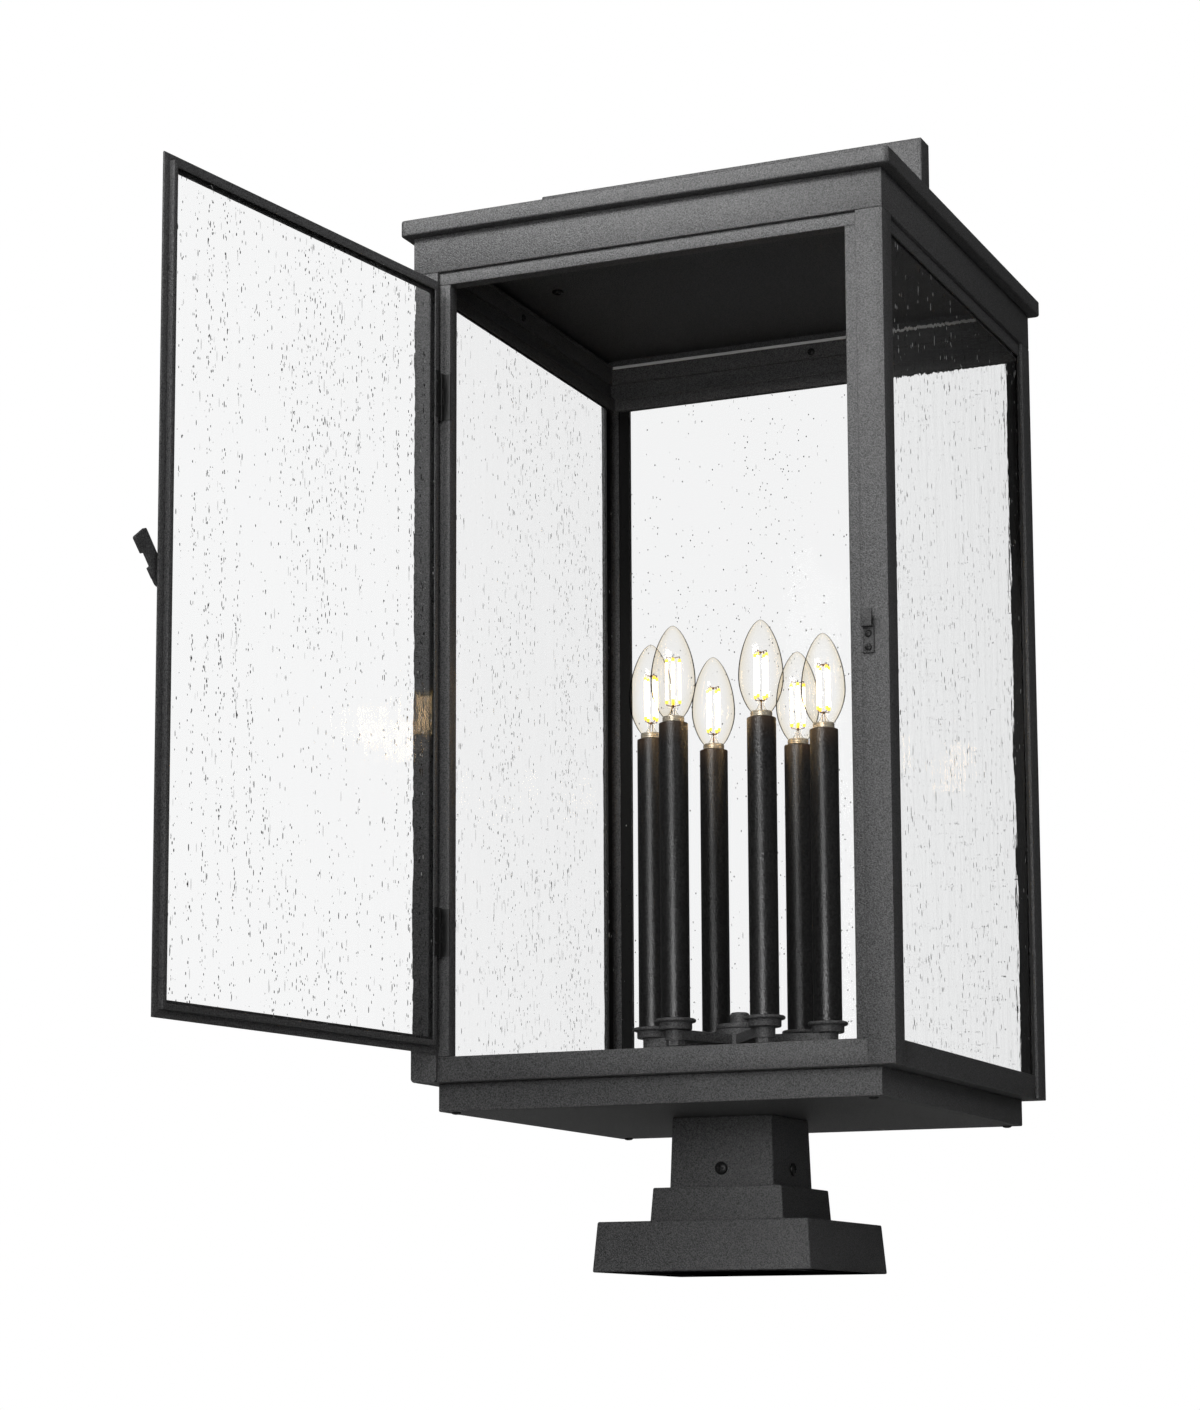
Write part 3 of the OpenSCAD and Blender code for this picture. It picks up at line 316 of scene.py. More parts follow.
def seeded_glass(name, plenty, drawn_out, bold, wavy, tint, ior=1.22, across=1.0, painted_glint_from=0.62):
    """Seeds by how plenty, drawn out, bold and wide across they are, and the pane's waves and tint."""
    glass = Finish(name)
    where = glass.place()
    bands = glass.noise(glass.stretched((16, 16, 4)), 1.0, detail=3.0)
    crowd = (0.25 + (bands - 0.45) * 5.0).limited() * plenty + plenty * 0.2

    def seeds(side_cells, upright_cells, offset, share, width):
        scale = (side_cells, side_cells / across, upright_cells / drawn_out)
        return seed_mask(glass, where, scale, offset, crowd * share, width * bold)

    fine, fine_tone = seeds(430, 210, (0.3, 0.1, 0.7), 0.34, 0.24)
    dash, dash_tone = seeds(400, 84, (4.1, 2.2, 1.3), 0.42, 0.2)
    long, long_tone = seeds(330, 46, (2.2, 7.1, 3.4), 0.3, 0.2)
    waves = glass.noise(glass.stretched((60, 60, 12)), 1.0)
    ripples = glass.noise(glass.stretched((150, 150, 60)), 1.0)
    clear = glass.surface({
        "Base Color": (tint * 0.997, tint, tint * 1.003, 1),
        "Roughness": 0.0,
        "IOR": ior,
        "Transmission Weight": 1.0,
        "Normal": glass.bump(waves * 0.7 + ripples * 0.22, wavy),
    })
    # Painted seeds: most skins are near black, painted shade for the light a bubble bends away; the palest tones
    # give pale skins, painted glints.
    skin = glass.blend(fine_tone * dash_tone > painted_glint_from, grey(0.002), grey(0.8))
    seed = glass.surface({"Base Color": skin, "Roughness": 0.22})
    # Painted streaks: the drawn-out seeds get dark to grey skins for the light they bend away and catch.
    painted_streak_skin = glass.blend(long_tone ** 3.0, grey(0.02), grey(0.5))
    streak = glass.surface({"Base Color": painted_streak_skin, "Roughness": 0.2})
    shown = glass.mixed(long * 0.35, clear, streak)
    shown = glass.mixed((fine + dash).limited() * 0.95, shown, seed)
    shadow = glass.node("ShaderNodeLightPath", output="Is Shadow Ray")
    slant = glass.node("ShaderNodeLayerWeight", {}, {"Blend": 0.5}, "Facing")
    flat_on, edge_on = glass.see_through(grey(0.9)), glass.see_through(grey(0.35))
    let_through = glass.mixed((slant * 1.25).limited(), flat_on, edge_on)
    return glass.done(glass.mixed(shadow, shown, let_through))

# %% [markdown]
# ## Skin of a bubble
# A bubble is a hole in the glass: clear in the middle, with a dark rim where it curves away. A ball
# of real air would need another two surfaces to be followed. A skin that turns from see through to
# dark with its slant paints that rim at once, as painted shade.

# %% Skin of the modelled bubbles
def bubble_skin():
    skin = Finish("bubble_skin")
    facing = skin.node("ShaderNodeLayerWeight", {}, {"Blend": 0.35}, "Facing")
    speckle = skin.noise(skin.place(), 300.0)
    # Painted shade: the dark speckled rim stands in for the light the bubble's wall bends away.
    rim = skin.surface({"Base Color": skin.blend(speckle, grey(0.02), grey(0.3)), "Roughness": 0.12})
    return skin.done(skin.mixed((facing * 1.5).limited(), skin.see_through(grey(0.97)), rim))

# %% [markdown]
# ## Lamp glass
# A candle lamp's glass is thin. Real refraction through six thin shells would be slow and hard to see, so
# the skin is see through and its tone follows its slant: a faint cream is painted glow from the light in
# it, and the thin dark line where it curves away is painted shade.

# %% Lamp glass
def lamp_glass():
    glass = Finish("lamp_glass")
    facing = glass.node("ShaderNodeLayerWeight", {}, {"Blend": 0.5}, "Facing")
    swirl = glass.noise(glass.place(), 90.0)
    clear = glass.see_through((0.997, 0.993, 0.984, 1))
    # Painted glow: a cream tone for the light in the glass, stronger where it slants.
    painted_glow_cream = glass.see_through((0.955, 0.92, 0.85, 1))
    # Painted shade: the thin dark line where the glass curves away.
    rim = glass.see_through((0.10, 0.085, 0.065, 1))
    body = glass.mixed(((facing + (swirl - 0.5) * 0.1 - 0.12) / 0.5).limited(), clear, painted_glow_cream)
    body = glass.mixed(((facing + (swirl - 0.5) * 0.04 - 0.66) / 0.12).limited(), body, rim)
    gloss = glass.node("ShaderNodeBsdfGlossy", {}, {"Color": grey(1.0), "Roughness": 0.04})
    shown = glass.mixed((0.008 + swirl * 0.025).limited(), body, gloss)
    shadow = glass.node("ShaderNodeLightPath", output="Is Shadow Ray")
    return glass.done(glass.mixed(shadow, shown, glass.see_through(grey(1.0))))

# %% [markdown]
# ## Glow, gold wires and nickel washed brass
# Inside the glass four rods glow white hot between yellow ends, held by fine gold coloured wires, and
# the collar below is nickel washed brass. Light could be thrown into the scene by lamps of its own,
# but rods that shine by themselves also show in the panes.

# %% Glowing rods and plated metal
def glowing(name, cool, hot, strength):
    glow = Finish(name)
    colour = glow.blend(glow.noise(glow.place(), 500.0), cool, hot)
    return glow.done(glow.surface({
        "Base Color": colour,
        "Roughness": 0.4,
        "Emission Color": colour,
        "Emission Strength": strength,
    }))


def plated(name, dark, light, rough, metal=1.0):
    plate = Finish(name)
    film = plate.noise(plate.place(), 240.0, detail=3.0)
    return plate.done(plate.surface({
        "Base Color": plate.blend(film, dark, light),
        "Metallic": metal,
        "Roughness": rough + film * 0.12,
        "Normal": plate.bump(film, 0.00003, 0.5),
    }))

# %% [markdown]
# ## Painted highlight edge
# One sheet edge in the narrow seam behind the fascia gets a pale finish: a painted highlight for the
# light that edge catches. Its pale tone has a grain that runs across.

# %% Painted highlight edge
def painted_highlight_edge():
    edge = Finish("painted_highlight_edge")
    grain = edge.noise(edge.stretched((60, 60, 900)), 1.0, detail=3.0)
    return edge.done(edge.surface({
        "Base Color": edge.blend(grain, grey(0.55), grey(0.95)),
        "Metallic": 0.0,
        "Roughness": 0.4 + grain * 0.2,
        "Normal": edge.bump(grain, 0.0001, 0.5),
    }))

# %% [markdown]
# ## One finish for each slot
# The solids name their finish by a slot, such as dark_steel. Each slot gets one material here, made
# once and shared, so that one change of a tone reaches every piece that has it. Five small pieces
# have a finish of their own.

# %% All finishes by the solids' slot names
finishes = {
    "black_powder_coat": powder_coat("black_powder_coat", tone=0.078, grain=2.3),
    "dark_steel": blackened_steel(),
    "zinc_steel": zinc_plate(),
    "seeded_glass": seeded_glass(
        "seeded_glass", plenty=0.85, drawn_out=1.0, bold=1.1, wavy=0.0006, tint=0.96),
    "bulb_glass": lamp_glass(),
    "glazing_rubber": glazing_rubber(),
    "black_plastic": sleeve_black(),
    "lamp_brass": plated("lamp_brass", (0.55, 0.46, 0.33, 1), (0.95, 0.89, 0.76, 1), rough=0.24, metal=0.6),
    "filament": glowing("filament", (1.0, 0.62, 0.26, 1), (1.0, 0.80, 0.48, 1), strength=9.0),
}
bubbles_finish = bubble_skin()
painted_highlight_finish = painted_highlight_edge()
catch_finish = powder_coat("catch_coat", tone=0.045, grain=2.5)
rod_end_finish = glowing("rod_ends", (1.0, 0.52, 0.03, 1), (1.0, 0.72, 0.10, 1), strength=1.5)
wire_finish = plated("lamp_wires", (0.10, 0.06, 0.03, 1), (0.28, 0.18, 0.08, 1), rough=0.3)
print("finishes", sorted(finishes))

# %% [markdown]
# ## One sheet of glass is not like the next
# Each pane was cut from its own sheet. The door's is the busiest, the rear one has only a few short
# seeds, and the right one's were drawn out longest, with many that catch the light. So crowding,
# length, width, waves and tint differ by pane.

# %% Finishes on the solids that stay as they are
pane_finishes = {
    "glass_rear": seeded_glass(
        "seeded_glass_rear", plenty=0.3, drawn_out=0.7, bold=1.0, wavy=0.0003, tint=0.915),
    "glass_left": seeded_glass(
        "seeded_glass_left", plenty=0.45, drawn_out=1.0, bold=1.15, wavy=0.0003, tint=0.96),
    "glass_right": seeded_glass(
        "seeded_glass_right", plenty=0.58, drawn_out=2.1, bold=1.15, wavy=0.0007, tint=1.0,
        ior=1.09, across=1.4, painted_glint_from=0.25),
}
slot_of = {part["node"]: part["material_slot"] for part in frame["record"]["subparts"]}
body_of = {}
for body, members in frame["record"]["behaviour"]["bodies"].items():
    for member in members:
        body_of[member] = body
for node, solid in frame["nodes"].items():
    solid.data.materials.clear()
    solid.data.materials.append(pane_finishes.get(node, finishes[slot_of[node]]))
print("dressed", len(slot_of), "solids")

# %% [markdown]
# ## Working by hand
# Blender's operators act on what is selected. These helpers start from nothing selected, step in and
# out of edit mode, and hand a finished piece over: place in the mesh, finish on, riding on its body.

# %% Helpers for selecting and finishing
def deselect():
    if bpy.context.mode != "OBJECT":
        bpy.ops.object.mode_set(mode="OBJECT")
    bpy.ops.object.select_all(action="DESELECT")


def pick(*pieces):
    deselect()
    for piece in pieces:
        piece.select_set(True)
    bpy.context.view_layer.objects.active = pieces[0]


def edit(piece):
    pick(piece)
    bpy.ops.object.mode_set(mode="EDIT")
    bpy.ops.mesh.select_mode(type="VERT")
    bpy.ops.mesh.select_all(action="SELECT")


def settle(piece):
    pick(piece)
    bpy.ops.object.transform_apply(location=True, rotation=True, scale=True)
    return piece


def smooth(piece, degrees=35):
    pick(piece)
    bpy.ops.object.shade_smooth_by_angle(angle=math.radians(degrees))


def hand_over(piece, name, slot, nodes=(), finish=None, body="lantern"):
    """Name a finished piece, put its finish on, and say which body it rides on and what it replaces."""
    settle(piece)
    piece.name = name
    piece.data.name = name
    piece.data.materials.clear()
    piece.data.materials.append(finish or finishes[slot])
    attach(piece, body)
    if nodes:
        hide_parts(*nodes)
    print("made", name, "with", len(piece.data.polygons), "faces")
    return piece


def joined(pieces):
    pick(*pieces)
    if len(pieces) > 1:
        bpy.ops.object.join()
    return bpy.context.view_layer.objects.active


def copy_of(piece):
    pick(piece)
    bpy.ops.object.duplicate(linked=False)
    return bpy.context.view_layer.objects.active

# %% [markdown]
# ## Easing the edges of bent and cast metal
# No real edge is sharp. The rails and angles are bent from sheet, the base is cast and the roof is
# folded, and powder builds up on every edge, so that each one catches a thin line of light. A bevel
# on the whole solid would also chew the small screw holes. Here a merged copy of the solid is taken,
# its flat faces are made whole, and only its long outward edges are rounded over.

# %% Copy a solid and round its long edges
SHARP = 0.5
SAME_SPOT = 0.002 * MM


def merged_copy(node):
    piece = bpy.data.objects.new(node + "_eased", frame["nodes"][node].data.copy())
    bpy.context.scene.collection.objects.link(piece)
    edit(piece)
    bpy.ops.mesh.remove_doubles(threshold=SAME_SPOT)
    bpy.ops.mesh.dissolve_limited(angle_limit=math.radians(0.4))
    bpy.ops.mesh.customdata_custom_splitnormals_clear()
    deselect()
    return piece


def round_edges(piece, width, shortest, rings=2, where=None):
    """Bevel the sharp outward edges that are long enough, or whose middle lies where asked."""
    edit(piece)
    bpy.ops.mesh.select_mode(type="EDGE")
    bpy.ops.mesh.select_all(action="DESELECT")
    shape = bmesh.from_edit_mesh(piece.data)
    chosen = 0
    for edge in shape.edges:
        if len(edge.link_faces) != 2 or not edge.is_convex or edge.calc_face_angle(0) < SHARP:
            continue
        if where is None:
            wanted = edge.calc_length() > shortest
        else:
            wanted = where((edge.verts[0].co + edge.verts[1].co) / 2)
        if wanted:
            edge.select_set(True)
            chosen += 1
    bmesh.update_edit_mesh(piece.data)
    bpy.ops.mesh.bevel(offset=width, segments=rings, profile=0.5, affect="EDGES", clamp_overlap=False)
    deselect()
    smooth(piece)
    return chosen


def eased(node, width, shortest, rings=2, where=None):
    piece = merged_copy(node)
    chosen = round_edges(piece, width * MM, shortest * MM, rings, where)
    hand_over(piece, node + "_eased", slot_of[node], [node], body=body_of[node])
    print(node, "edges rounded", chosen)
    return piece

# %% [markdown]
# ## The frame
# Four corner angles stand on folded rails, with a strip and channels at the top and a stop beside each
# front angle. All are bent from sheet, so each keeps its solid's shape, and only the width of its
# rounding differs: heavier folds are rounder.

# %% Angles, rails, stops, channels and strip
for corner in ("front_left", "front_right", "rear_left", "rear_right"):
    eased("post_" + corner, 0.6, 15)
for side in ("front", "rear", "left", "right"):
    eased("rail_" + side, 0.8, 15)
for side in ("rear", "left", "right"):
    eased("channel_" + side, 0.4, 15)
for node in ("strip_front", "door_stop_left", "door_stop_right"):
    eased(node, 0.5, 15)

# %% [markdown]
# ## Fascia and roof
# The fascia's sheet is folded at its foot. The roof is a shallow pan with rounded upright corners,
# so its top edge turns the corner in short steps, and those steps are chosen by their height and by
# how far out they lie rather than by their length.

# %% Fascia, roof and handle
ROOF_THICK = 12.5 * MM
CORNER_DEPTH = 4.5 * MM
roof_side, _, roof_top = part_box("roof_pan")[1]
print("roof reaches", round(roof_side / MM, 1), "mm out and", round(roof_top / MM, 1), "mm up")


def on_roof_rim(middle):
    outside = max(abs(middle.x), abs(middle.y)) > roof_side - CORNER_DEPTH
    level_with = [abs(middle.z - height) < 0.1 * MM for height in (roof_top, roof_top - ROOF_THICK)]
    return outside and any(level_with)


eased("fascia_frame", 1.0, 20)
eased("roof_pan", 1.3, 15, rings=3, where=on_roof_rim)
eased("top_handle", 1.2, 15, rings=3)

# %% [markdown]
# ## Hem inside the fascia
# Where the roof's rim meets the fascia, the sheet's edge shows as a thin bar per side. The rear one has
# a pale finish, a painted highlight: the one bright line under the dark ceiling.

# %% Hem along the rear, left and right
HEM_FOOT, HEM_TOP = 792.8, 795.2
HEM_IN, HEM_OUT = 183.4, 184.8
HEM_END = 184.0
SIDE_HEM_END = 183.0


def hem_bar(name, low, high, slot="black_powder_coat", finish=None):
    bpy.ops.object.select_all(action="DESELECT")
    middle = [(a + b) / 2 * MM for a, b in zip(low, high)]
    bpy.ops.mesh.primitive_cube_add(size=1, location=middle)
    bar = bpy.context.object
    bar.scale = [(b - a) * MM for a, b in zip(low, high)]
    settle(bar)
    round_edges(bar, 0.35 * MM, 10 * MM)
    hand_over(bar, name, slot, finish=finish)


# The rear bar's pale finish is a painted highlight.
hem_bar("hem_rear", (-HEM_END, HEM_IN, HEM_FOOT), (HEM_END, HEM_OUT, HEM_TOP), "zinc_steel", painted_highlight_finish)
hem_bar("hem_left", (-HEM_OUT, -HEM_END, HEM_FOOT), (-HEM_IN, SIDE_HEM_END, HEM_TOP))
hem_bar("hem_right", (HEM_IN, -HEM_END, HEM_FOOT), (HEM_OUT, SIDE_HEM_END, HEM_TOP))

# %% [markdown]
# ## Base, tray and floor
# The base is cast, with softer edges than the folded sheet above it: a flange, a step and a neck,
# each leaning in a little so that it leaves its mould. The tray is a folded pan under the frame.

# %% Base, tray, floor and fixing parts
eased("pier_base", 1.3, 20, rings=3)
eased("bottom_tray", 1.0, 20)
eased("floor_plate", 0.4, 20)
eased("mounting_plate", 0.5, 20)
eased("mounting_post", 0.8, 20)

# %% [markdown]
# ## Door, hinges and latch
# The door is four mitred lengths of a folded section round one pane. Its edges are crisper than the
# frame's. The lever is punched from plate, and the catch is a bent hook. They ride on their own
# bodies, so that the door swings and the lever turns.

# %% Door members, hinge leaves, lever and catch
for node in ("door_stile_hinge", "door_stile_free", "door_rail_top", "door_rail_bottom"):
    eased(node, 0.6, 25)
eased("hinge_leaves_door", 0.2, 8)
eased("hinge_leaves_frame", 0.2, 8)
eased("latch_lever", 0.45, 2.2)
catch = eased("catch_hook", 0.4, 3)
catch.data.materials[0] = catch_finish
eased("cluster_arms", 0.9, 12)

# %% [markdown]
# ## Turned parts
# Hub, knob, cups, sleeves and lamps are round. In the workshop they come off a lathe, and Blender's
# Spin does the same: one point is drawn out into an outline with Extrude, and the outline is swept
# round an axis. Where an outline ends on the axis, the doubled points there are merged.

# %% Outline and sweep
def turned(name, outline, at=(0.0, 0.0), steps=48):
    """Sweep an outline of (radius, height) in millimetres round the upright axis at a point in metres."""
    bpy.ops.object.select_all(action="DESELECT")
    start = Vector((at[0] + outline[0][0] * MM, at[1], outline[0][1] * MM))
    bpy.ops.mesh.primitive_plane_add(size=0.0001, location=start)
    piece = bpy.context.object
    edit(piece)
    bpy.ops.mesh.merge(type="CENTER")
    for before, after in zip(outline, outline[1:]):
        step = ((after[0] - before[0]) * MM, 0, (after[1] - before[1]) * MM)
        bpy.ops.mesh.extrude_region_move(TRANSFORM_OT_translate={"value": step})
    bpy.ops.mesh.select_all(action="SELECT")
    bpy.ops.mesh.spin(steps=steps, angle=2 * math.pi, center=(at[0], at[1], 0), axis=(0, 0, 1))
    bpy.ops.mesh.select_all(action="SELECT")
    bpy.ops.mesh.remove_doubles(threshold=2 * SAME_SPOT)
    bpy.ops.mesh.normals_make_consistent(inside=False)
    deselect()
    piece.name = name
    settle(piece)
    smooth(piece, 40)
    return piece


def arc(centre_r, centre_z, radius, start, end, count=4):
    """Points of a rounded edge, angles in degrees from the outward direction."""
    points = []
    for index in range(count + 1):
        angle = math.radians(start + (end - start) * index / count)
        points.append((centre_r + radius * math.cos(angle), centre_z + radius * math.sin(angle)))
    return points


def heights(node):
    """Foot and top of a solid in millimetres."""
    foot, top = [round(corner.z / MM, 2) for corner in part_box(node)]
    print(node, "from", foot, "to", top)
    return foot, top

# %% [markdown]
# ## Hub, cap, knob and stem
# A round hub carries the arms on a short stem, under a flat cap and a screwed knob. Each has a small
# turned radius on its rim, and a bead line where two of them meet. One helper draws such a ring from
# its radius, the rounding of its lower and upper edge and the radius of its bead.

# %% Hub and cap
BORE = 5.05
HUB_R = 18.6


def rounded_ring(node, radius, low_edge, high_edge, bead_r=None):
    foot, top = heights(node)
    side = [(bead_r, foot)] if bead_r else []
    side += arc(radius - low_edge, foot + low_edge, low_edge, -90, 0)
    side += arc(radius - high_edge, top - high_edge, high_edge, 0, 90)
    return [(BORE, foot)] + side + [(BORE, top), (BORE, foot)]


hub = turned("hub", rounded_ring("cluster_hub", HUB_R, 1.2, 0.7, bead_r=17.6))
hand_over(hub, "hub_turned", "black_powder_coat", ["cluster_hub"])
cap = turned("cap", rounded_ring("hub_cap", HUB_R, 1.2, 1.4, bead_r=18.2))
hand_over(cap, "hub_cap_turned", "black_powder_coat", ["hub_cap"])

# %% Domed knob with a blind bore, and the stem
KNOB_R = 7.4
KNOB_EDGE = 0.7
KNOB_DOME = 2.2
knob_foot, knob_top = heights("finial_knob")
bore_end = knob_top - KNOB_DOME
knob_outline = [(0, bore_end), (BORE, bore_end), (BORE, knob_foot)]
knob_outline += arc(KNOB_R - KNOB_EDGE, knob_foot + KNOB_EDGE, KNOB_EDGE, -90, 0)
knob_outline += arc(KNOB_R - KNOB_DOME, bore_end, KNOB_DOME, 0, 90, 6) + [(0, knob_top)]
knob = turned("knob", knob_outline)
hand_over(knob, "knob_turned", "black_powder_coat", ["finial_knob"])

STEM_R = 11.0
STEM_EDGE = 0.6
stem = turned("stem", rounded_ring("hub_stem", STEM_R, STEM_EDGE, STEM_EDGE))
hand_over(stem, "hub_stem_turned", "black_powder_coat", ["hub_stem"])

# %% [markdown]
# ## The ring of candles
# Six candles stand evenly on a ring that is turned a little on its hub. What stands in the ring is
# made once, at the first candle's distance on the X axis, and copied round, so that all six are alike.

# %% Six copies round the ring
RING = 70.0
RING_TURN = math.radians(6.7)
LAMPS = 6
CANDLE = (RING * MM, 0.0)


def round_the_ring(piece):
    """Six copies of a piece made at angle zero, one at each candle, joined into one mesh."""
    row = [piece] + [copy_of(piece) for _ in range(LAMPS - 1)]
    for index, one in enumerate(row):
        angle = RING_TURN + index * 2 * math.pi / LAMPS
        one.matrix_world = Matrix.Rotation(angle, 4, "Z") @ one.matrix_world
        settle(one)
    return joined(row)


print("ring", 2 * RING, "mm across, turned", round(math.degrees(RING_TURN), 1), "degrees")

# %% [markdown]
# ## Cups and sleeves
# Each candle stands in a turned cup with a thick rolled rim. The sleeve is a thin tube whose top edge
# is rounded where the lamp's collar sits.

# %% Cups
CUP_R = 12.7
CUP_BORE = 4.95
CUP_SEAT = 11.3
RIM_MIDDLE = 14.25
RIM_ROLL = 1.5
cup_foot, cup_top = heights("candle_cups")
seat_z = heights("candle_sleeves")[0]
cup_outline = [(CUP_BORE, cup_foot), (CUP_R - 1, cup_foot)] + arc(CUP_R - 1, cup_foot + 1, 1.0, -90, 0, 3)
cup_outline += [(CUP_R, cup_foot + 5), (CUP_R + 0.4, cup_foot + 5.7)]
cup_outline += arc(RIM_MIDDLE, cup_top - RIM_ROLL, RIM_ROLL, -80, 90, 8)
cup_outline += [(CUP_SEAT, cup_top), (CUP_SEAT, seat_z), (CUP_BORE, seat_z), (CUP_BORE, cup_foot)]
cups = round_the_ring(turned("cup", cup_outline, CANDLE))
hand_over(cups, "candle_cups_turned", "black_powder_coat", ["candle_cups"])

# %% Sleeves with a rounded top
SLEEVE_IN, SLEEVE_OUT = 10.25, 11.25
lip = (SLEEVE_OUT - SLEEVE_IN) / 2
sleeve_foot, sleeve_end = heights("candle_sleeves")
sleeve_outline = [(SLEEVE_IN, sleeve_foot), (SLEEVE_OUT, sleeve_foot)]
sleeve_outline += arc(SLEEVE_IN + lip, sleeve_end - lip, lip, 0, 180, 6) + [(SLEEVE_IN, sleeve_foot)]
sleeves = round_the_ring(turned("sleeve", sleeve_outline, CANDLE))
hand_over(sleeves, "candle_sleeves_turned", "black_plastic", ["candle_sleeves"])

# %% [markdown]
# ## Lamp caps
# Below the glass sits a ribbed metal collar, and under it the screw cap that goes down into the
# holder: a rounded thread, a black glass ring and a small contact.

# %% Screw cap with ribbed collar
THREAD_TURNS = 7
THREAD_PITCH = 2.5
COLLAR_RIBS = 3
RIB_PITCH = 1.35
cap_foot, cap_top = heights("bulb_caps")


def cap_outline():
    """Contact, glass ring, thread, neck and ribbed collar, from the foot up."""
    points = [(0, 0), (2.0, 0), (2.5, 0.7), (2.6, 3.0), (4.4, 4.4)]
    for turn in range(THREAD_TURNS):
        low = 5.2 + turn * THREAD_PITCH
        points += [(5.25, low), (5.7, low + 0.7), (5.85, low + 1.25), (5.7, low + 1.8)]
    points += [(5.3, 23.0), (5.3, 24.4), (8.0, 24.5)]
    for rib in range(COLLAR_RIBS):
        low = 24.6 + rib * RIB_PITCH
        points += [(8.15, low), (8.5, low + 0.35), (8.5, low + 0.8), (8.15, low + 1.1)]
    points += [(8.0, cap_top - cap_foot), (0, cap_top - cap_foot)]
    return [(radius, cap_foot + height) for radius, height in points]


caps = round_the_ring(turned("lamp_cap", cap_outline(), CANDLE, steps=40))
hand_over(caps, "lamp_caps_turned", "lamp_brass", ["bulb_caps"])

# %% [markdown]
# ## Lamp glass
# The glass is blown to a candle flame: narrow at the collar, widest a third of the way up and drawn
# to a point. Its wall is half a millimetre thin, so one closed skin stands for it: two skins would
# darken where lamps overlap, because only so many clear layers are followed.

# %% Candle shaped glass
GLASS_R = 17.5
NECK_R = 8.1
glass_foot, glass_top = heights("bulb_glass")
glass_h = glass_top - glass_foot
belly_h = 0.375 * glass_h


def flame_radius(height):
    if height < belly_h:
        return NECK_R + (GLASS_R - NECK_R) * math.sin(math.pi / 2 * height / belly_h) ** 0.8
    above = math.cos(math.pi / 2 * (height - belly_h) / (glass_h - belly_h))
    return GLASS_R * max(above, 0.0) ** 0.58


def flame_side(count=26):
    """Points up the glass, closer together toward the tip, where it curves most."""
    steps = [glass_h * math.sin(math.pi / 2 * index / count) for index in range(count)]
    return [(flame_radius(height), glass_foot + height) for height in steps] + [(0.0, glass_top)]


glass_outline = [(0.0, glass_foot)] + flame_side()
lamp_glasses = round_the_ring(turned("lamp_glass", glass_outline, CANDLE))
hand_over(lamp_glasses, "lamp_glasses_blown", "bulb_glass", ["bulb_glass"])

# %% [markdown]
# ## Filament sets
# Four glowing rods stand round the axis on a wire spider, with a yellow bead of phosphor at each end.
# A glass stem with two lead wires carries them. Rods and wires are laid between two points, so one
# helper places a cylinder by its ends and softens its rims.

# %% Rods and wires between two points
def rod_between(start, end, radius, sides=10, rim=0.25):
    """A round rod between two points in millimetres, its rims rounded by a share of its radius."""
    first = Vector(start) * MM
    last = Vector(end) * MM
    span = last - first
    bpy.ops.object.select_all(action="DESELECT")
    bpy.ops.mesh.primitive_cylinder_add(
        vertices=sides, radius=radius * MM, depth=span.length, location=(first + last) / 2,
        rotation=span.to_track_quat("Z", "Y").to_euler())
    piece = bpy.context.object
    settle(piece)
    if rim:
        edit(piece)
        bpy.ops.mesh.select_mode(type="FACE")
        bpy.ops.mesh.select_all(action="DESELECT")
        shape = bmesh.from_edit_mesh(piece.data)
        for face in shape.faces:
            face.select_set(len(face.verts) > 4)
        bmesh.update_edit_mesh(piece.data)
        bpy.ops.mesh.bevel(offset=radius * rim * MM, segments=2, affect="EDGES")
        deselect()
    smooth(piece, 50)
    return piece



# %% Glowing rods and their yellow ends
ROD_FOOT, ROD_TOP = 437.2, 471.2
ROD_RING = 5.0
rod_angles = [math.pi / 4 + quarter * math.pi / 2 for quarter in range(4)]
rod_places = [(RING + ROD_RING * math.cos(angle), ROD_RING * math.sin(angle)) for angle in rod_angles]
rods = [rod_between((x, y, ROD_FOOT + 1.6), (x, y, ROD_TOP - 1.6), 0.95, sides=12) for x, y in rod_places]
rods = round_the_ring(joined(rods))
hand_over(rods, "filament_rods", "filament", ["bulb_filaments"])

ends = []
for x, y in rod_places:
    ends.append(rod_between((x, y, ROD_FOOT - 0.6), (x, y, ROD_FOOT + 2.2), 1.2))
    ends.append(rod_between((x, y, ROD_TOP - 2.2), (x, y, ROD_TOP + 0.6), 1.2))
ends = round_the_ring(joined(ends))
hand_over(ends, "filament_rod_ends", "filament", finish=rod_end_finish)

# %% [markdown]
# ## Wire spider, lead wires and glass stem
# Bent wires tie the rods to a small bead above and below them, and two leads come up to the lower
# bead out of a pinched glass stem. The wires are too thin to show a rounded rim, so they have none.

# %% Wires with their beads
WIRE_R = 0.3


def wire(start, end):
    return rod_between(start, end, WIRE_R, sides=6, rim=0)


wires = []
for x, y in rod_places:
    wires.append(wire((x, y, ROD_TOP), (x, y, ROD_TOP + 2.6)))
    wires.append(wire((x, y, ROD_TOP + 2.5), (RING, 0, ROD_TOP + 1.2)))
    wires.append(wire((x, y, ROD_FOOT), (x, y, ROD_FOOT - 1.8)))
    wires.append(wire((x, y, ROD_FOOT - 1.7), (RING, 0, ROD_FOOT - 2.8)))
wires.append(rod_between((RING, 0, ROD_FOOT - 3.6), (RING, 0, ROD_FOOT - 1.6), 0.8, sides=8))
wires.append(rod_between((RING, 0, ROD_TOP + 0.4), (RING, 0, ROD_TOP + 2.2), 0.7, sides=8))
for side in (-1, 1):
    wires.append(wire((RING + side * 1.4, 0, glass_foot + 0.2), (RING + side * 0.7, 0, ROD_FOOT - 2.6)))
wires = round_the_ring(joined(wires))
hand_over(wires, "lamp_wires", "lamp_brass", finish=wire_finish)

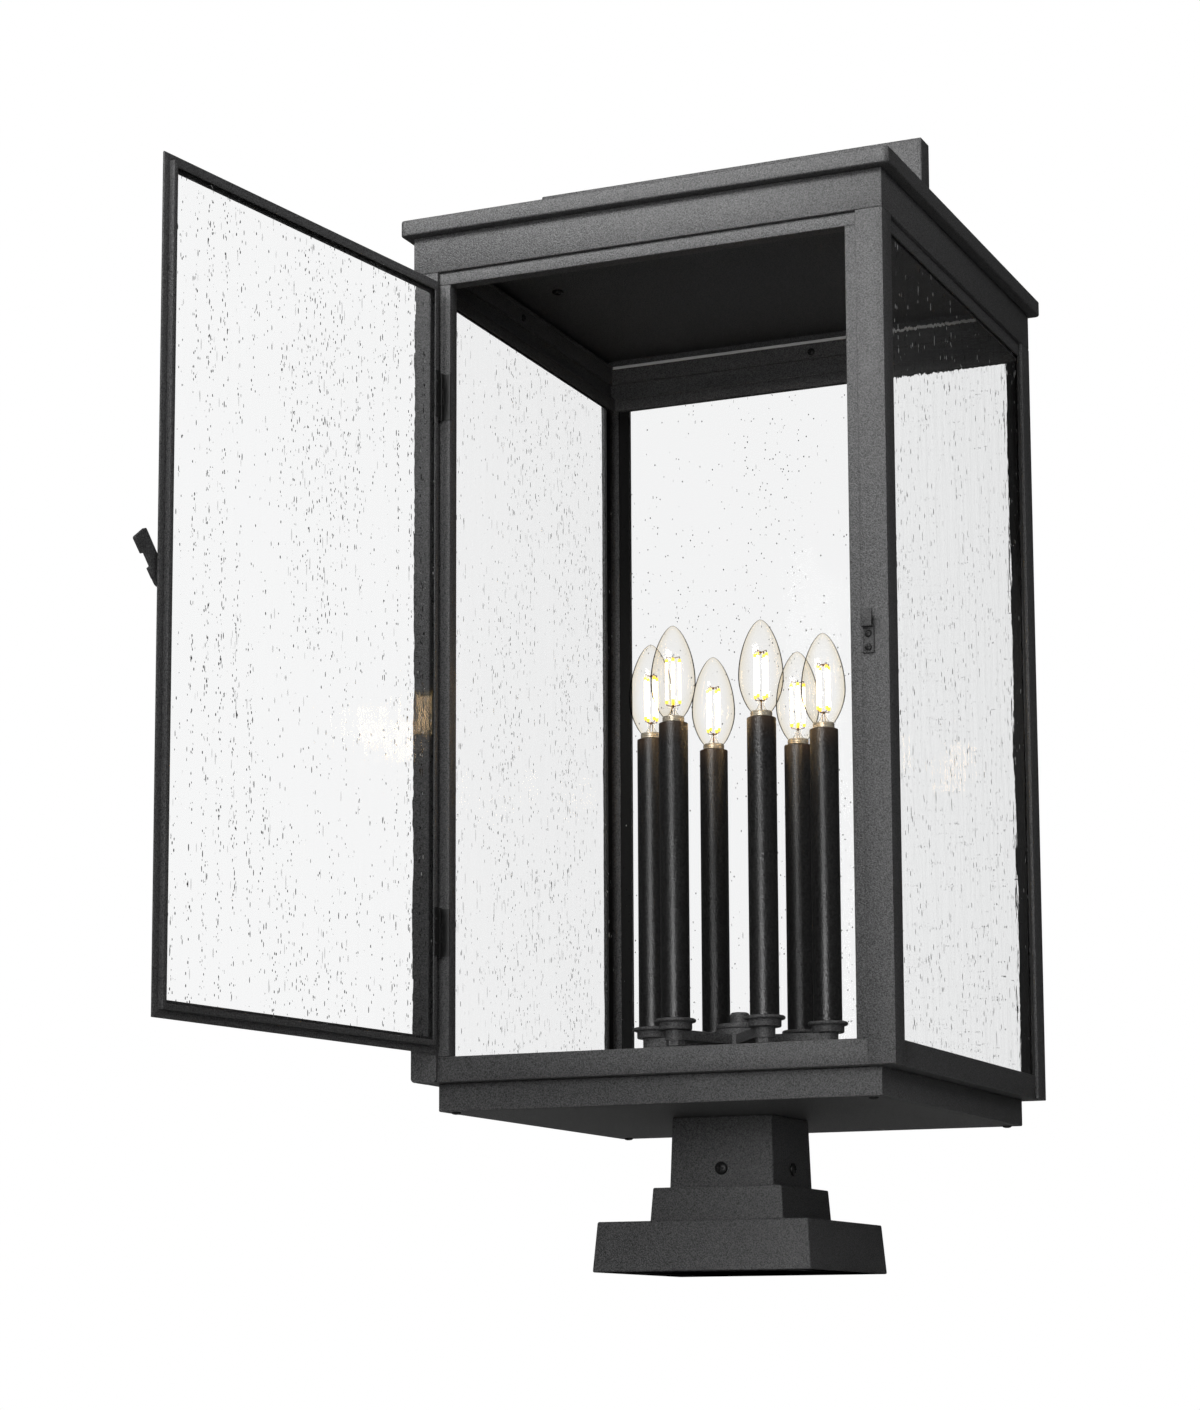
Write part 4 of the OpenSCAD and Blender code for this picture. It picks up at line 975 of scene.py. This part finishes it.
# %% Pinched glass stem
STEM_FOOT = glass_foot + 0.1
stem_outline = [(0, 0), (4.6, 0), (4.2, 1.3), (2.9, 3.3), (2.1, 5.1), (1.8, 7.1)]
stem_outline += arc(0.6, 7.3, 1.2, 0, 90, 3) + [(0, 8.5)]
stem_outline = [(radius, STEM_FOOT + height) for radius, height in stem_outline]
stems = round_the_ring(turned("stem_glass", stem_outline, CANDLE, steps=20))
hand_over(stems, "lamp_stems_glass", "bulb_glass")

# %% [markdown]
# ## Screws
# The screws have pan heads with a domed rim and a cross recess. One of each size is turned, its
# recess is cut with a Boolean modifier, and copies are set where the solids have them.

# %% One pan head screw and its copies
def pan_screw(head_r, head_h, shank_r, shank_len):
    """A screw at the origin, its head's underside at height zero and its head up."""
    outline = [(0, -shank_len), (shank_r * 0.8, -shank_len), (shank_r, -shank_len + 0.6), (shank_r, 0)]
    outline += [(head_r * 0.96, 0), (head_r, head_h * 0.12)]
    for angle in map(math.radians, (0, 20, 40, 58, 74)):
        outline.append((head_r * math.cos(angle), head_h * (0.35 + 0.65 * math.sin(angle))))
    outline.append((0, head_h))
    piece = turned("pan_screw", outline, steps=32)
    for turn in (0, math.pi / 2):
        bpy.ops.object.select_all(action="DESELECT")
        bpy.ops.mesh.primitive_cube_add(size=1, location=(0, 0, head_h * MM), rotation=(0, 0, turn))
        blade = bpy.context.object
        blade.scale = (head_r * 1.15 * MM, head_r * 0.26 * MM, head_h * 1.1 * MM)
        settle(blade)
        pick(piece)
        cut = piece.modifiers.new("recess", "BOOLEAN")
        cut.operation = "DIFFERENCE"
        cut.object = blade
        bpy.ops.object.modifier_apply(modifier=cut.name)
        bpy.data.objects.remove(blade)
    smooth(piece, 30)
    return piece


def screws(name, node, master, places):
    """Copies of one screw at (point, outward direction), which stand for the node's solids."""
    row = []
    for point, outward in places:
        one = copy_of(master)
        turn = Vector(outward).to_track_quat("Z", "Y").to_matrix().to_4x4()
        one.matrix_world = Matrix.Translation(Vector(point) * MM) @ turn
        settle(one)
        row.append(one)
    bpy.data.objects.remove(master)
    hand_over(joined(row), name, "dark_steel", [node])
    print(name, len(places))


# %% Screws in the four sides: neck and roof
SIDES = [(0, -1), (1, 0), (0, 1), (-1, 0)]
NECK_HEAD = 3.0
NECK_SCREW_Z = 78.7
ROOF_SCREW_OUT, ROOF_SCREW_Z = 185.0, 785.5

neck_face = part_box("neck_screws")[1].x / MM - NECK_HEAD
neck_master = pan_screw(head_r=5.0, head_h=NECK_HEAD, shank_r=2.4, shank_len=9)
screws("neck_screws_turned", "neck_screws", neck_master,
       [((x * neck_face, y * neck_face, NECK_SCREW_Z), (x, y, 0)) for x, y in SIDES])
roof_master = pan_screw(head_r=3.2, head_h=1.9, shank_r=1.7, shank_len=4.2)
screws("roof_screws_turned", "roof_screws", roof_master,
       [((x * ROOF_SCREW_OUT, y * ROOF_SCREW_OUT, ROOF_SCREW_Z), (-x, -y, 0)) for x, y in SIDES])

# %% Screws from below: handle and tray
BOTH = (-1, 1)
DOWN = (0, 0, -1)
HANDLE_LEG_X, CEILING_Z = 153.5, 804.0
TRAY_SCREW_OUT, TRAY_UNDERSIDE_Z = 164.5, 118.5

handle_master = pan_screw(head_r=4.8, head_h=3.0, shank_r=2.9, shank_len=8)
screws("handle_screws_turned", "handle_screws", handle_master,
       [((x * HANDLE_LEG_X, 0, CEILING_Z), DOWN) for x in BOTH])
tray_master = pan_screw(head_r=3.6, head_h=1.8, shank_r=1.9, shank_len=26)
screws("tray_screws_turned", "tray_screws", tray_master,
       [((x * TRAY_SCREW_OUT, y * TRAY_SCREW_OUT, TRAY_UNDERSIDE_Z), DOWN) for x in BOTH for y in BOTH])

# %% The catch's two screws
CATCH_HEAD_R = 2.6
CATCH_FACE_Y = -191.5
catch_low, catch_high = [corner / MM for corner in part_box("catch_screws")]
catch_x = (catch_low.x + catch_high.x) / 2
catch_master = pan_screw(head_r=CATCH_HEAD_R, head_h=1.5, shank_r=1.5, shank_len=8)
screws("catch_screws_turned", "catch_screws", catch_master,
       [((catch_x, CATCH_FACE_Y, z), (0, -1, 0))
        for z in (catch_low.z + CATCH_HEAD_R, catch_high.z - CATCH_HEAD_R)])

# %% [markdown]
# ## Bubbles in the glass
# The larger seeds can be seen as round bubbles with a dark rim, so a few hundred are real: one small
# ball drawn out upright, copied at scattered places inside each pane, between its two faces. The
# scatter comes from a fixed seed, so that every run gives the same glass.

# %% One bubble, scattered through a pane
SMALLEST_R, R_RANGE = 0.18, 0.32
LEAST_DRAWN, DRAWN_RANGE = 1.6, 6.0


def one_bubble():
    bpy.ops.object.select_all(action="DESELECT")
    bpy.ops.mesh.primitive_uv_sphere_add(segments=6, ring_count=5, radius=1.0, location=(0, 0, 0))
    piece = bpy.context.object
    points = [tuple(v.co) for v in piece.data.vertices]
    faces = [tuple(p.vertices) for p in piece.data.polygons]
    bpy.data.objects.remove(piece)
    return points, faces


def bubbles(name, body, count, seed, low, high, turn=None):
    """Bubbles in the flat box from low to high, in millimetres, the thin side through the pane."""
    shape, faces = one_bubble()
    dice = random.Random(seed)
    points, skins = [], []
    for _ in range(count):
        radius = SMALLEST_R + R_RANGE * dice.random() ** 3
        length = radius * (LEAST_DRAWN + DRAWN_RANGE * dice.random() ** 2)
        middle = [dice.uniform(a, b) for a, b in zip(low, high)]
        base = len(points)
        for x, y, z in shape:
            away = Vector((x * radius, y * radius, z * length))
            place = (Vector(middle) + away) * MM
            points.append(turn @ place if turn else place)
        skins += [tuple(base + corner for corner in face) for face in faces]
    mesh = bpy.data.meshes.new(name)
    mesh.from_pydata(points, [], skins)
    piece = bpy.data.objects.new(name, mesh)
    bpy.context.scene.collection.objects.link(piece)
    smooth(piece, 180)
    hand_over(piece, name, "seeded_glass", finish=bubbles_finish, body=body)
    print(name, count, "bubbles")


# %% Bubbles of the fixed panes
PANE_SIDE = 172.0
PANE_FOOT, PANE_TOP = 164.0, 748.0
GLASS_IN, GLASS_OUT = 183.6, 184.4
bubbles("bubbles_rear", "lantern", 130, 11,
        (-PANE_SIDE, GLASS_IN, PANE_FOOT), (PANE_SIDE, GLASS_OUT, PANE_TOP))
bubbles("bubbles_left", "lantern", 260, 12,
        (-GLASS_OUT, -PANE_SIDE, PANE_FOOT), (-GLASS_IN, PANE_SIDE, PANE_TOP))
bubbles("bubbles_right", "lantern", 300, 13,
        (GLASS_IN, -PANE_SIDE, PANE_FOOT), (GLASS_OUT, PANE_SIDE, PANE_TOP))

# %% Bubbles of the door's pane, scattered as if closed and swung open
DOOR_PANE_LOW = (-154, -187.8, 171)
DOOR_PANE_HIGH = (154, -187.0, 744)
hinge = next(joint for joint in frame["joints"] if joint["name"] == "door_swing")
axis_point = Vector(hinge["pos_m"])
opened = -math.radians(hinge["range_deg"][1])
swing = Matrix.Translation(axis_point) @ Matrix.Rotation(opened, 4, "Z") @ Matrix.Translation(-axis_point)
bubbles("bubbles_door", "door", 520, 14, DOOR_PANE_LOW, DOOR_PANE_HIGH, swing)

# %% [markdown]
# ## White without more light
# The lantern was photographed before white, with a pale ground. A brighter room would turn the black
# coat grey. So floor and background are white only where the camera sees them, straight or through
# glass, and light that has bounced finds them dim.

# %% Where a ray comes from
def looked_at(finish, turns_allowed):
    """Two values: 1 where seen straight or through glass, else 0, and 1 for a mirrored ray."""
    straight = finish.node("ShaderNodeLightPath", output="Is Camera Ray")
    outputs = straight.socket.node.outputs
    wanted = ("Is Transmission Ray", "Ray Depth", "Transmission Depth", "Is Glossy Ray")
    through, turns, passes, mirror = [Value(finish, outputs[key]) for key in wanted]
    return (straight + through * ((turns - passes) < turns_allowed)).limited(), mirror

# %% [markdown]
# ## Floor
# The lantern stands on a pale floor. The camera looks up from below the level of the base, so the
# floor shows only from above: its underside lets rays pass.

# %% Floor
FLOOR_GLOW = 0.72
bpy.ops.object.select_all(action="DESELECT")
bpy.ops.mesh.primitive_plane_add(size=9, location=(0, 0, 0))
floor = settle(bpy.context.object)
floor.name = "floor"
pale = Finish("pale_floor")
shade = pale.noise(pale.place(), 2.0)
ground = pale.surface({"Base Color": pale.blend(shade, grey(0.52), grey(0.6)), "Roughness": 0.9})
glow = pale.node("ShaderNodeEmission", {}, {"Color": grey(1.0), "Strength": 1.0})
floor_seen, _ = looked_at(pale, 0.5)
ground = pale.mixed(floor_seen * FLOOR_GLOW, ground, glow)
below = pale.node("ShaderNodeNewGeometry", output="Backfacing")
floor.data.materials.append(pale.done(pale.mixed(below, ground, pale.see_through(grey(1.0)))))
print("floor", round(floor.dimensions.x, 1), "m wide")

# %% [markdown]
# ## Background
# Behind the floor all is white for the camera. For everything else it is a dim cool room, and only a
# fortieth of the white comes back from the metal as a mirror image.

# %% Background
ROOM_LIGHT = 0.03
MIRRORED_WHITE = 0.025
world = bpy.data.worlds.new("studio")
bpy.context.scene.world = world
world.use_nodes = True
sky = Finish("studio", world.node_tree)
sky_seen, mirrored = looked_at(sky, 1.5)
ambient = sky.node("ShaderNodeBackground", {}, {"Color": (0.97, 0.98, 1.0, 1), "Strength": ROOM_LIGHT})
white = sky.node("ShaderNodeBackground", {}, {"Color": grey(1.0), "Strength": 1.0})
all_round = sky.mixed((sky_seen + mirrored * MIRRORED_WHITE).limited(), ambient, white)
sky.node("ShaderNodeOutputWorld", {}, {"Surface": all_round})
print("background", world.name)

# %% [markdown]
# ## Lights
# A soft light near the roof makes the front brightest at the top, two more fill it from the front and
# from low down, and weak ones at the sides and behind leave those sides dark. None is seen in a pane.

# %% Lights
def soft_light(name, at, towards, size, watts, fan):
    """A rectangular light, its size in metres and its fan in degrees."""
    lamp = bpy.data.lights.new(name, "AREA")
    lamp.shape = "RECTANGLE"
    lamp.size, lamp.size_y = size
    lamp.energy = watts
    lamp.spread = math.radians(fan)
    holder = bpy.data.objects.new(name, lamp)
    bpy.context.scene.collection.objects.link(holder)
    holder.location = at
    holder.rotation_euler = (Vector(towards) - Vector(at)).to_track_quat("-Z", "Y").to_euler()
    holder.visible_transmission = False
    print("light", name, watts, "W")
    return holder


soft_light("near_top", (-0.28, -1.0, 1.25), (-0.05, 0, 0.9), size=(0.9, 0.3), watts=3.8, fan=90)
soft_light("front", (0.1, -2.6, 0.8), (0, 0, 0.45), size=(1.0, 1.0), watts=2.2, fan=70)
soft_light("low", (0.45, -1.95, 0.14), (0.22, -0.1, 0.24), size=(0.5, 0.5), watts=1.0, fan=50)
soft_light("side", (1.4, -0.6, 1.3), (0, 0, 0.5), size=(0.8, 0.8), watts=1.1, fan=70)
soft_light("behind", (-0.3, 1.5, 2.5), (0, 0.15, 0.5), size=(0.5, 0.5), watts=0.7, fan=28)
left_light = soft_light("left", (-1.3, -1.9, 0.9), (0, 0, 0.45), size=(1.0, 1.0), watts=1.0, fan=70)
left_light.visible_glossy = False

# %% [markdown]
# ## Tones as the camera gives them
# A film like curve would turn the white background grey, so tones go to the picture as they are.

# %% Tones
bpy.context.scene.view_settings.view_transform = "Standard"
print("tones", bpy.context.scene.view_settings.view_transform)
